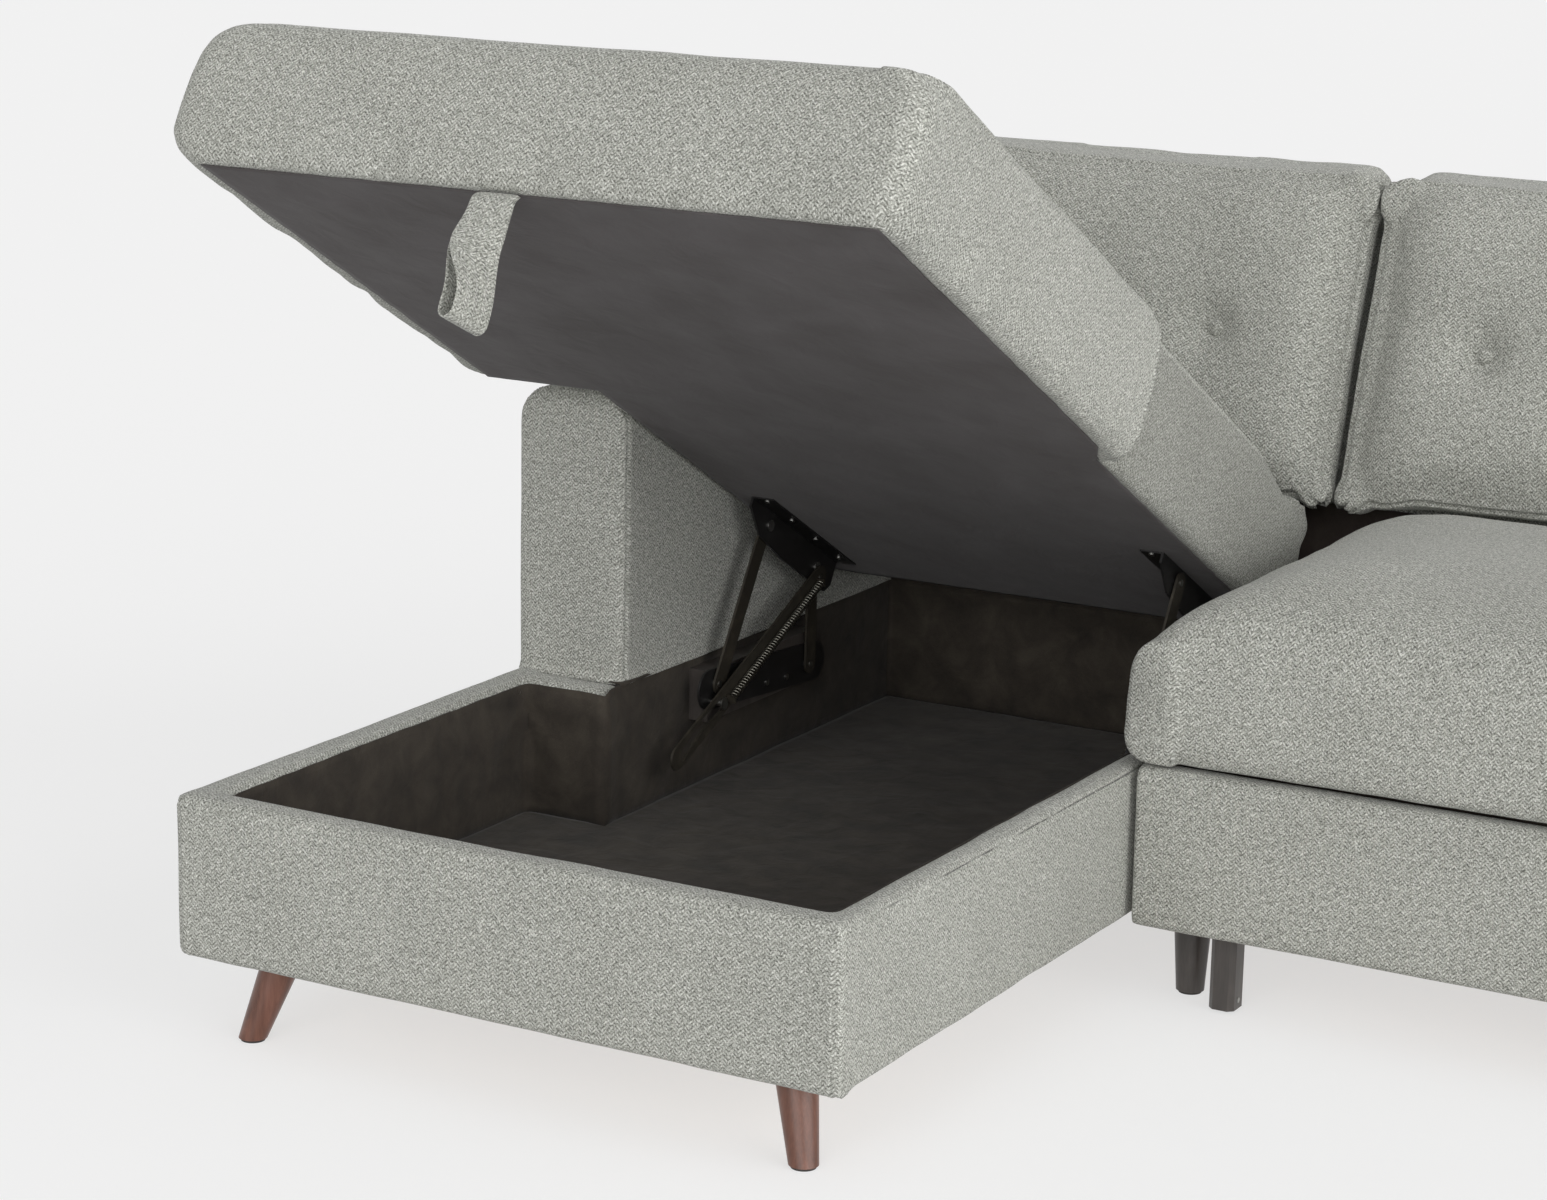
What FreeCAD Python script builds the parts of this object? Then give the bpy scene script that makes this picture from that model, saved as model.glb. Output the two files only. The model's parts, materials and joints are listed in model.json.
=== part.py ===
import FreeCAD, Part
import math
import os
from FreeCAD import Vector

# Corner sofa bed: a storage chaise with a lift-up seat on the left and a two-seat module with a
# pull-out bed section on the right. Millimetres. X runs to the right as seen from the front,
# Y to the back, Z up. Everything is drawn from the chaise's front left corner on the floor,
# and the whole is moved at the end so that the origin is in the middle of the footprint.
# The seat of the chaise is drawn shut and then swung open, which is the rest pose.

# Overall layout
CHAISE_WIDTH = 800.0
CHAISE_PROJECTION = 660.0
SEAT_PITCH = 630.0
SEAT_COUNT = 2
OVERALL_DEPTH = 1530.0
ARM_WIDTH = 150.0
ARM_RISE = 342.0
ARM_SETBACK = 8.0
LEG_HEIGHT = 96.0
WALL_HEIGHT = 179.0
MODULE_GAP = 3.0
TOUCH_GAP = 0.3

# Upholstered walls of the chaise
FRONT_WALL = 38.0
LEFT_WALL = 42.0
RIGHT_WALL = 30.0
RETURN_WALL = 40.0
WALL_BOARD = 16.0
WALL_EDGE_RADIUS = 9.0
PADDING = 9.0
LINING = 1.2
INNER_BOARD = 16.0
REAR_BOARD = 18.0
FLOOR_BATTEN = 8.0
BATTEN_WIDTH = 60.0
FLOOR_SHEET = 6.0

# Arms
ARM_TOP_RADIUS = 40.0
ARM_FRONT_RADIUS = 16.0
ARM_PADDING = 14.0
ARM_BOARD = 18.0

# Backrest
BACK_TOP = 795.0
BACK_FOOT_DEPTH = 185.0
BACK_BEND_HEIGHT = 450.0
BACK_LEAN = 18.0
BACK_EDGE_RADIUS = 14.0
BACK_PADDING = 12.0
BACK_POST = 45.0
GAP_PANEL = 4.0

# Back cushions
CUSHION_FOOT = 452.0
CUSHION_RISE = 428.0
CUSHION_DEPTH = 120.0
CUSHION_CORNER = 40.0
CUSHION_GAP = 4.0
CUSHION_DRAW = 5.0
TUFT_HEIGHT = 216.0
TUFT_INSET = 160.0
TUFT_RADIUS = 44.0
TUFT_DEPTH = 13.0
BUTTON_RADIUS = 9.5
BUTTON_THICKNESS = 6.0

# Bench seat and its deck
SEAT_THICKNESS = 212.0
SEAT_REAR_GAP = 16.0
SEAT_CORNER = 34.0
SEAT_DRAW = 5.0
DECK_THICKNESS = 16.0
DECK_INSET = 45.0
DECK_RAIL_HEIGHT = 28.0
DECK_RAIL_WIDTH = 25.0
SIDE_BOARD = 18.0
JOIN_PLATE_SHARES = (0.36, 0.79)
JOIN_PLATE_LENGTH = 60.0
JOIN_PLATE_RISE = 30.0
JOIN_PLATE_HEIGHT = 80.0

# Pull-out section
PANEL_THICKNESS = 30.0
PANEL_SIDE_GAP = 6.0
PANEL_TOP_GAP = 4.0
PANEL_DROP = 4.0
TRAY_REAR_GAP = 27.0
TRAY_BOARD = 18.0
TRAY_HEIGHT = 95.0
TRAY_CLEARANCE = 9.0
TRAY_INSET = 119.0
PLATFORM = 12.0
PLATFORM_LIFT = 18.0
BEARER_WIDTH = 40.0
BEARER_SHARES = (0.2, 0.75)
PLATFORM_SIDE_GAP = 6.0
BED_CUSHION = 92.0
PULL_TRAVEL = 540.0
POST_WIDTH = 30.0
POST_DEPTH = 34.0
POST_CHAMFER = 6.0
POST_FLOOR_GAP = 4.0
POST_TOP = 200.0
ROLLER_RADIUS = 14.0
ROLLER_WIDTH = 12.0
ROLLER_GAP = 1.5
AXLE_RADIUS = 3.0
AXLE_CLEARANCE = 0.05
REAR_ROLLER_RADIUS = 15.0
RUNNER_THICKNESS = 16.0
FOLDING_ARM = 24.0
FOLDING_ARM_LENGTH = 134.0
FOLDING_ARM_SHARES = (0.18, 0.73)

# Legs
LEG_TOP_RADIUS = 23.0
LEG_FOOT_RADIUS = 15.5
LEG_SPLAY = 25.0
LEG_INSET_SIDE = 63.0
LEG_INSET_FRONT = 50.0
BLACK_LEG_TOP_RADIUS = 22.0
BLACK_LEG_FOOT_RADIUS = 16.0
GLIDE_THICKNESS = 3.0
GLIDE_RADIUS = 13.0
LEG_PLATE = 2.0
LEG_PLATE_WIDTH = 52.0
CORNER_BLOCK = 84.0

# Lift-up seat
LID_REAR_GAP = 76.0
LID_THICKNESS = 174.0
LID_FRONT = 3.0
LID_SEAT_GAP = 2.0
LID_ARM_GAP = 27.0
LID_BENCH_GAP = 9.0
LID_SIDE_STEP = 20.0
LID_CORNER = 30.0
LID_LIP = 12.0
LID_PANEL = 15.0
DUST_COVER = 1.2
LID_OPEN_ANGLE = 29.2
LID_REAR_FORWARD = 120.9
LID_REAR_RISE = 42.4
SWELL_FRONT = 8.0
SWELL_RIGHT = 15.0
SWELL_NARROW = 5.0
SWELL_ARM_SIDE = -6.0
SWELL_LEFT = 44.0
STRAP_WIDTH = 50.0
STRAP_LENGTH = 150.0
STRAP_THICKNESS = 3.3
STRAP_FOLD = 9.0
STRAP_FROM_LEFT = 353.0
STRAP_FORWARD = 3.6
STRAP_SEWN = 20.0

# Lift hardware, laid out inwards from the side wall
BRACKET_BLOCK = 26.8
BLOCK_HEIGHT = 64.0
STEEL = 3.0
LAYER_GAP = 2.0
LINK_WIDTH = 24.0
STAY_WIDTH = 30.0
BASE_PLATE_WIDTH = 50.0
FRONT_PIVOT_BACK = 242.0
FRONT_PIVOT_DOWN = 18.5
FRONT_LINK_REACH = 185.0
REAR_PIVOT_BACK = 100.0
REAR_PIVOT_DOWN = 25.0
REAR_LINK_REACH = 100.0
STAY_PIVOT_BACK = 93.0
STAY_PIVOT_DOWN = 36.0
STAY_SLOPE = 25.0
STAY_REACH = 262.0
STAY_SLOT_MARGIN = 12.0
STAY_SLOT_BOW = 5.6
STAY_SLOT_PLAY = 3.0
PIN_RADIUS = 4.0
PIN_CLEARANCE = 0.05
WASHER_RADIUS = 8.0
WASHER = 1.6
BRACKET_FROM = 300.0
BRACKET_TO = 53.0
BRACKET_DROP = 46.0
BRACKET_FLANGE = 30.0
BRACKET_SCREW_FROM = 292.0
BRACKET_SCREW_PITCH = 71.0
BRACKET_SCREWS = 4
SCREW_RADIUS = 4.0
SCREW_HEAD = 1.4
SPRING_RADIUS = 4.6
SPRING_WIRE = 0.8
SPRING_TURNS = 49
SPRING_LEAD = 12.0
SPRING_GAP = 0.5
SPRING_LUG = 2.4

# Worked out from the values above
BOX_BASE = LEG_HEIGHT
BOX_TOP = LEG_HEIGHT + WALL_HEIGHT
ARM_FRONT = CHAISE_PROJECTION - ARM_SETBACK
ARM_TOP = BOX_TOP + ARM_RISE
SEAT_LEFT = CHAISE_WIDTH + MODULE_GAP
SEAT_RIGHT = CHAISE_WIDTH + SEAT_COUNT * SEAT_PITCH
OVERALL_WIDTH = SEAT_RIGHT + ARM_WIDTH
SEAT_MIDDLE = 0.5 * (SEAT_LEFT + SEAT_RIGHT - MODULE_GAP)
BACK_FRONT = OVERALL_DEPTH - BACK_FOOT_DEPTH
LEAN = math.tan(math.radians(BACK_LEAN))
CUSHION_FRONT = BACK_FRONT + (CUSHION_FOOT - BACK_BEND_HEIGHT) * LEAN - CUSHION_DEPTH + 7.0
FLOOR_TOP = BOX_BASE + FLOOR_BATTEN + FLOOR_SHEET
REAR_WALL_FRONT = BACK_FRONT - REAR_BOARD
INNER_LEFT = ARM_WIDTH
INNER_RIGHT = CHAISE_WIDTH - RIGHT_WALL
LID_BASE = BOX_TOP + LID_SEAT_GAP
LID_LENGTH = BACK_FRONT - LID_REAR_GAP - LID_FRONT
LID_NOTCH_LENGTH = ARM_FRONT - LID_ARM_GAP - LID_FRONT
LID_WIDE_LENGTH = CHAISE_PROJECTION - LID_BENCH_GAP - LID_FRONT
OPEN_TURN = math.radians(LID_OPEN_ANGLE)
LID_OPEN_Y = LID_FRONT + LID_LENGTH * (1.0 - math.cos(OPEN_TURN)) - LID_REAR_FORWARD
LID_OPEN_Z = LID_BASE + LID_LENGTH * math.sin(OPEN_TURN) + LID_REAR_RISE
LID_NARROW_LEFT = ARM_WIDTH
LID_NARROW_RIGHT = CHAISE_WIDTH - LID_SIDE_STEP
DECK_TOP = BOX_TOP + 5.0
DECK_FRONT = CHAISE_PROJECTION + DECK_INSET
PANEL_REAR = CHAISE_PROJECTION + PANEL_THICKNESS
TRAY_LEFT = SEAT_LEFT + TRAY_INSET
TRAY_BASE = BOX_BASE + TRAY_CLEARANCE
TRAY_REAR = BACK_FRONT - REAR_BOARD - TRAY_REAR_GAP

nodes = {}


def add(name, solids):
    """Keep a node: one solid, or a group of separate solids."""
    nodes[name] = solids if isinstance(solids, list) else [solids]


def block(x0, x1, y0, y1, z0, z1):
    """A square-edged block between two corners."""
    return Part.makeBox(x1 - x0, y1 - y0, z1 - z0, Vector(x0, y0, z0))


def rod_x(x0, x1, y, z, radius):
    """A round rod along X."""
    return Part.makeCylinder(radius, x1 - x0, Vector(x0, y, z), Vector(1, 0, 0))


def edges_along(shape, direction, keep):
    """The straight edges of a shape along one axis whose middle satisfies keep(point)."""
    chosen = []
    for edge in shape.Edges:
        if edge.Curve.TypeId != "Part::GeomLine":
            continue
        line = edge.Vertexes[-1].Point - edge.Vertexes[0].Point
        if line.Length < 1.0:
            continue
        if abs(line.dot(direction)) / line.Length < 0.999:
            continue
        if keep(edge.CenterOfMass):
            chosen.append(edge)
    return chosen


def soften(shape, radius, direction, keep=lambda point: True):
    """Round the chosen straight edges of a shape."""
    return shape.makeFillet(radius, edges_along(shape, direction, keep))


def mirrored(shape, x):
    """The shape mirrored across the plane at x."""
    return shape.mirror(Vector(x, 0, 0), Vector(1, 0, 0))


def mirrored_seat(shape):
    """The shape mirrored across the middle of the two-seat module."""
    return mirrored(shape, SEAT_MIDDLE)


def inset_outline(corners, insets):
    """Move the sides of a square-cornered outline, listed anticlockwise, inwards.

    One inset serves every side, or there is one for the side that follows each corner.
    """
    count = len(corners)
    if not isinstance(insets, list):
        insets = [insets] * count
    moved = []
    for index in range(count):
        before = Vector(*corners[index - 1], 0)
        here = Vector(*corners[index], 0)
        after = Vector(*corners[(index + 1) % count], 0)
        side_in = (here - before).normalize()
        side_out = (after - here).normalize()
        normal_in = Vector(-side_in.y, side_in.x, 0)
        normal_out = Vector(-side_out.y, side_out.x, 0)
        moved.append(here + normal_in * insets[index - 1] + normal_out * insets[index])
    return moved


def soft_wire(corners, radii, draw, place):
    """A closed wire with a round at each corner and long sides drawn in at their middle."""
    count = len(corners)
    rounds = []
    for index in range(count):
        here = corners[index]
        to_before = (corners[index - 1] - here).normalize()
        to_after = (corners[(index + 1) % count] - here).normalize()
        radius = radii[index]
        inwards = (to_before + to_after).normalize()
        middle = here + inwards * (radius * (math.sqrt(2.0) - 1.0))
        rounds.append((here + to_before * radius, middle, here + to_after * radius))
    edges = []
    for index in range(count):
        start, middle, end = rounds[index]
        edges.append(Part.Arc(place(start), place(middle), place(end)).toShape())
        following = rounds[(index + 1) % count][0]
        side = following - end
        inwards = Vector(-side.y, side.x, 0).normalize()
        pull = draw if side.Length > 8.0 * max(radii) else 0.0
        waist = (end + following) * 0.5 + inwards * pull
        if pull > 0:
            edges.append(Part.Arc(place(end), place(waist), place(following)).toShape())
        else:
            edges.append(Part.LineSegment(place(end), place(following)).toShape())
    return Part.Wire(edges)


def pad(corners, radii, levels, draw, place):
    """A crowned pad: a loft through outlines, each level a height and an inset."""
    wires = []
    for height, inset in levels:
        outline = inset_outline(corners, inset)
        wires.append(soft_wire(outline, radii, draw, lambda point, z=height: place(point.x, point.y, z)))
    return Part.makeLoft(wires, True, True)


def rectangle(x0, x1, y0, y1):
    """The corners of a rectangle, anticlockwise."""
    return [(x0, y0), (x1, y0), (x1, y1), (x0, y1)]


def padded_wall(x0, x1, y0, y1, board_axis, round_front=False):
    """An upholstered wall of the box with a pocket for its board; returns cover and board."""
    cover = block(x0, x1, y0, y1, BOX_BASE, BOX_TOP)
    along = Vector(1, 0, 0) if board_axis == "x" else Vector(0, 1, 0)
    rims = edges_along(cover, along, lambda point: True)
    if round_front:
        rims += edges_along(cover, Vector(0, 0, 1), lambda point: point.y < y0 + 1)
    cover = cover.makeFillet(WALL_EDGE_RADIUS, rims)
    if board_axis == "x":
        middle = 0.5 * (y0 + y1)
        size = (x0 + PADDING, x1 - PADDING, middle - 0.5 * WALL_BOARD, middle + 0.5 * WALL_BOARD)
    else:
        middle = 0.5 * (x0 + x1)
        size = (middle - 0.5 * WALL_BOARD, middle + 0.5 * WALL_BOARD, y0 + PADDING, y1 - PADDING)
    board = block(*size, BOX_BASE + PADDING, BOX_TOP - PADDING)
    return cover.cut(board), board


def chaise_box():
    """The storage box: padded walls, inner and rear boards, floor and lining."""
    front, front_board = padded_wall(0, CHAISE_WIDTH, 0, FRONT_WALL, "x", True)
    left, left_board = padded_wall(0, LEFT_WALL, FRONT_WALL, OVERALL_DEPTH, "y")
    right, right_board = padded_wall(INNER_RIGHT, CHAISE_WIDTH, FRONT_WALL, BACK_FRONT, "y")
    return_front = ARM_FRONT - RETURN_WALL
    back, return_board = padded_wall(LEFT_WALL, INNER_LEFT, return_front, ARM_FRONT, "x")
    add("chaise_front_cover", front)
    rear_corner = block(LEFT_WALL, ARM_WIDTH, BACK_FRONT, OVERALL_DEPTH, BOX_BASE, BOX_TOP)
    add("chaise_left_cover", [left, rear_corner])
    add("chaise_right_cover", right)
    add("chaise_return_cover", back)
    add("chaise_wall_boards", [front_board, left_board, right_board, return_board])

    inner_x = INNER_LEFT - INNER_BOARD
    add("chaise_inner_board", block(inner_x, INNER_LEFT, ARM_FRONT, REAR_WALL_FRONT, BOX_BASE, BOX_TOP))
    add("chaise_rear_board", block(LEFT_WALL, INNER_RIGHT, REAR_WALL_FRONT, BACK_FRONT, BOX_BASE, BOX_TOP))

    sheet_z = BOX_BASE + FLOOR_BATTEN
    wide = block(LEFT_WALL, INNER_RIGHT, FRONT_WALL, return_front, sheet_z, FLOOR_TOP)
    narrow = block(INNER_LEFT, INNER_RIGHT, return_front, REAR_WALL_FRONT, sheet_z, FLOOR_TOP)
    add("storage_floor", wide.fuse(narrow).removeSplitter())
    battens = []
    for fraction in (0.25, 0.45, 0.65, 0.85):
        y = fraction * REAR_WALL_FRONT
        left_end = LEFT_WALL if y + BATTEN_WIDTH < return_front else INNER_LEFT
        battens.append(block(left_end, INNER_RIGHT, y, y + BATTEN_WIDTH, BOX_BASE, sheet_z))
    add("floor_battens", battens)

    top = BOX_TOP - WALL_EDGE_RADIUS
    base = FLOOR_TOP
    lining = [
        block(LEFT_WALL, INNER_RIGHT, FRONT_WALL, FRONT_WALL + LINING, base, top),
        block(LEFT_WALL, LEFT_WALL + LINING, FRONT_WALL + LINING, return_front, base, top),
        block(LEFT_WALL + LINING, INNER_LEFT + LINING, return_front - LINING, return_front, base, top),
        block(INNER_LEFT, INNER_LEFT + LINING, return_front, REAR_WALL_FRONT, base, top),
        block(INNER_RIGHT - LINING, INNER_RIGHT, FRONT_WALL + LINING, REAR_WALL_FRONT, base, top),
        block(INNER_LEFT + LINING, INNER_RIGHT - LINING, REAR_WALL_FRONT - LINING, REAR_WALL_FRONT, base, top),
    ]
    add("storage_lining", lining)


def arm(x0, base):
    """An upholstered arm with its inner boards, standing on base; returns cover and boards."""
    x1 = x0 + ARM_WIDTH
    cover = block(x0, x1, ARM_FRONT, OVERALL_DEPTH, base, ARM_TOP)
    cover = soften(cover, ARM_TOP_RADIUS, Vector(0, 1, 0), lambda point: point.z > ARM_TOP - 1)
    front = edges_along(cover, Vector(0, 0, 1), lambda point: True)
    front += edges_along(cover, Vector(1, 0, 0), lambda point: point.z > ARM_TOP - 1)
    cover = cover.makeFillet(ARM_FRONT_RADIUS, front)
    inside = ARM_PADDING
    low = base + inside
    high = ARM_TOP - ARM_TOP_RADIUS
    near = ARM_FRONT + inside
    far = OVERALL_DEPTH - inside
    outer = block(x0 + inside, x0 + inside + ARM_BOARD, near, far, low, high)
    inner = block(x1 - inside - ARM_BOARD, x1 - inside, near, far, low, high)
    between = (x0 + inside + ARM_BOARD, x1 - inside - ARM_BOARD)
    front_post = block(*between, near, near + ARM_BOARD, low, high)
    rear_post = block(*between, far - ARM_BOARD, far, low, high)
    hollow = block(x0 + inside, x1 - inside, near, far, low, high)
    return cover.cut(hollow), [outer, inner, front_post, rear_post]


def arms():
    """Left arm on the box wall, right arm down to the base."""
    cover, boards = arm(0, BOX_TOP)
    add("left_arm_cover", cover)
    arm_boards = boards
    cover, boards = arm(SEAT_RIGHT, BOX_BASE)
    add("right_arm_cover", cover)
    add("arm_boards", arm_boards + boards)


def back_profile(inset):
    """The backrest's side outline as points in Y and Z, moved in by inset."""
    lean_offset = inset / math.cos(math.radians(BACK_LEAN))
    front = BACK_FRONT + inset
    bend = BACK_BEND_HEIGHT + inset * 0.15
    top = BACK_TOP - inset
    top_front = BACK_FRONT + lean_offset + (top - BACK_BEND_HEIGHT) * LEAN
    rear = OVERALL_DEPTH - inset
    base = BOX_BASE + inset
    return [(front, base), (front, bend), (top_front, top), (rear, top), (rear, base)]


def side_prism(points, x0, x1):
    """A prism along X over an outline in Y and Z."""
    corners = [Vector(x0, y, z) for y, z in points]
    wire = Part.makePolygon(corners + [corners[0]])
    return Part.Face(wire).extrude(Vector(x1 - x0, 0, 0))


def backrest():
    """The backrest between the arms: cover, inner posts and rails, dark strip under the cushions."""
    x0 = ARM_WIDTH
    x1 = SEAT_RIGHT
    cover = side_prism(back_profile(0), x0, x1)
    cover = soften(cover, BACK_EDGE_RADIUS, Vector(1, 0, 0), lambda point: point.z > BACK_TOP - 1)
    hollow = side_prism(back_profile(BACK_PADDING), x0 + BACK_PADDING, x1 - BACK_PADDING)
    add("back_cover", cover.cut(hollow))

    boards = []
    inner = back_profile(BACK_PADDING)
    spacing = (x1 - x0 - 2 * BACK_PADDING - BACK_POST) / 4
    for index in range(5):
        start = x0 + BACK_PADDING + index * spacing
        boards.append(side_prism(inner, start, start + BACK_POST))
    rail_y = OVERALL_DEPTH - BACK_PADDING - 2 * REAR_BOARD
    for index in range(4):
        start = x0 + BACK_PADDING + index * spacing + BACK_POST
        end = x0 + BACK_PADDING + (index + 1) * spacing
        for z in (BOX_BASE + 3 * BACK_PADDING, BACK_TOP - 8 * BACK_PADDING):
            boards.append(block(start, end, rail_y, rail_y + REAR_BOARD, z, z + BACK_POST))
    add("back_boards", boards)
    top = BACK_BEND_HEIGHT - 4.0
    add("back_gap_panel", block(x0, x1, BACK_FRONT - GAP_PANEL, BACK_FRONT, BOX_TOP, top))


def back_cushion(name, x0, x1, tufts):
    """A leaning back cushion with a crowned front and sewn tufts; returns its buttons."""
    slope = math.radians(BACK_LEAN)
    up = Vector(0, math.sin(slope), math.cos(slope))
    foot = Vector(0, CUSHION_FRONT, CUSHION_FOOT)

    def place(x, rise, depth):
        return foot + Vector(x, depth, 0) + up * rise

    gap = 0.5 * CUSHION_GAP
    corners = rectangle(x0 + gap, x1 - gap, 0, CUSHION_RISE)
    levels = [
        (-14, 150), (-11, 100), (-5, 60), (4, 30), (15, 12), (30, 3), (50, 0),
        (80, 0), (98, 4), (110, 14), (CUSHION_DEPTH - 7, 26),
    ]
    body = pad(corners, [CUSHION_CORNER] * 4, levels, CUSHION_DRAW, place)
    outwards = Vector(0, -math.cos(slope), math.sin(slope))
    crown = -14.0 * math.cos(slope)
    sphere_radius = (TUFT_RADIUS ** 2 + TUFT_DEPTH ** 2) / (2 * TUFT_DEPTH)
    buttons = []
    for x in tufts:
        surface = place(x, TUFT_HEIGHT, 0) + outwards * (-crown)
        centre = surface + outwards * (sphere_radius - TUFT_DEPTH)
        body = body.cut(Part.makeSphere(sphere_radius, centre))
        seat = surface - outwards * (TUFT_DEPTH - 1.0)
        button = Part.makeCylinder(BUTTON_RADIUS, BUTTON_THICKNESS, seat, outwards)
        rim = [edge for edge in button.Edges if edge.Closed and (edge.CenterOfMass - seat).Length > 1.0]
        buttons.append(button.makeFillet(0.45 * BUTTON_THICKNESS, rim))
    add(name, body)
    return buttons


def back_cushions():
    """One cushion over the chaise and one for each seat."""
    left = ARM_WIDTH
    buttons = back_cushion("back_cushion_left", left, CHAISE_WIDTH,
                           [left + TUFT_INSET, CHAISE_WIDTH - TUFT_INSET - 28.0])
    for index, name in enumerate(["back_cushion_middle", "back_cushion_right"]):
        start = CHAISE_WIDTH + index * SEAT_PITCH
        end = start + SEAT_PITCH
        buttons += back_cushion(name, start, end, [start + TUFT_INSET, end - TUFT_INSET])
    add("tuft_buttons", buttons)


def seat():
    """The bench cushion, the deck under it and the boards that carry the deck."""
    rear = BACK_FRONT - GAP_PANEL - SEAT_REAR_GAP
    corners = rectangle(SEAT_LEFT, SEAT_RIGHT - MODULE_GAP, CHAISE_PROJECTION, rear)
    top = SEAT_THICKNESS
    levels = [
        (TOUCH_GAP, 8), (9, 2), (24, 0), (90, 0), (120, 3), (139, 10), (153, 21),
        (165, 38), (178, 66), (191, 106), (202, 160), (209, 220), (top, 280),
    ]
    cushion = pad(corners, [SEAT_CORNER] * 4, levels, SEAT_DRAW,
                  lambda x, y, z: Vector(x, y, DECK_TOP + z))
    tuck = CUSHION_FOOT - 6.0
    tuck_start = CUSHION_FRONT - 45.0
    under = side_prism([
        (tuck_start, tuck + 80), (tuck_start, tuck + 42), (CUSHION_FRONT, tuck),
        (rear + 5, tuck), (rear + 5, tuck + 80),
    ], SEAT_LEFT - 5, SEAT_RIGHT + 5)
    add("seat_cushion", cushion.cut(under))
    deck_base = DECK_TOP - DECK_THICKNESS
    deck_rear = BACK_FRONT - GAP_PANEL
    add("seat_deck", block(SEAT_LEFT, SEAT_RIGHT, DECK_FRONT, deck_rear, deck_base, DECK_TOP))
    rail_left = SEAT_LEFT + SIDE_BOARD
    rail_right = SEAT_RIGHT - SIDE_BOARD
    rails = []
    for y in (DECK_FRONT, 0.5 * (DECK_FRONT + BACK_FRONT) - DECK_RAIL_WIDTH):
        rails.append(block(rail_left, rail_right, y, y + DECK_RAIL_WIDTH, deck_base - DECK_RAIL_HEIGHT, deck_base))
    add("deck_rails", rails)
    rear_rail = BACK_FRONT - REAR_BOARD
    sides = [
        block(SEAT_LEFT, rail_left, DECK_FRONT, BACK_FRONT, BOX_BASE, deck_base),
        block(rail_right, SEAT_RIGHT, DECK_FRONT, BACK_FRONT, BOX_BASE, deck_base),
    ]
    add("seat_side_boards", sides)
    add("seat_rear_rail", block(rail_left, rail_right, rear_rail, BACK_FRONT, BOX_BASE, deck_base))
    runner_front = DECK_FRONT + DECK_RAIL_WIDTH
    runner = block(rail_left, TRAY_LEFT - 3.0, runner_front, rear_rail, BOX_BASE, BOX_BASE + RUNNER_THICKNESS)
    other = block(2 * SEAT_MIDDLE - TRAY_LEFT + 3.0, rail_right, runner_front, rear_rail,
                  BOX_BASE, BOX_BASE + RUNNER_THICKNESS)
    add("runner_rails", [runner, other])
    plates = []
    low = BOX_BASE + JOIN_PLATE_RISE
    for share in JOIN_PLATE_SHARES:
        y = ARM_FRONT + share * (BACK_FRONT - ARM_FRONT)
        plates.append(block(CHAISE_WIDTH, SEAT_LEFT, y, y + JOIN_PLATE_LENGTH, low, low + JOIN_PLATE_HEIGHT))
    add("sectional_brackets", plates)


def roller(x, y, z, radius):
    """A roller with a bored hub on an axle along X, centred at x."""
    half = 0.5 * ROLLER_WIDTH
    wheel = rod_x(x - half, x + half, y, z, radius)
    wheel = wheel.makeFillet(2.0, [edge for edge in wheel.Edges if edge.Closed])
    return wheel.cut(rod_x(x - half, x + half, y, z, AXLE_RADIUS + AXLE_CLEARANCE))


def post(x0):
    """A chamfered post with a slot for its roller and a bore for the axle; returns post and axle."""
    x1 = x0 + POST_WIDTH
    y0 = PANEL_REAR
    y1 = y0 + POST_DEPTH
    body = block(x0, x1, y0, y1, POST_FLOOR_GAP, POST_TOP)
    corners = edges_along(body, Vector(0, 0, 1), lambda point: point.x > x0 + 1 or point.y < y0 + 1)
    body = body.makeChamfer(POST_CHAMFER, corners)
    x = 0.5 * (x0 + x1)
    y = 0.5 * (y0 + y1)
    reach = ROLLER_RADIUS + ROLLER_GAP
    half = 0.5 * ROLLER_WIDTH + ROLLER_GAP
    body = body.cut(block(x - half, x + half, y - reach, y + reach, 0, ROLLER_RADIUS + reach))
    body = body.cut(rod_x(x0 - 1, x1 + 1, y, ROLLER_RADIUS, AXLE_RADIUS))
    axle = rod_x(x0, x1 + 0.5, y, ROLLER_RADIUS, AXLE_RADIUS)
    return body, axle, roller(x, y, ROLLER_RADIUS, ROLLER_RADIUS)


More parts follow.
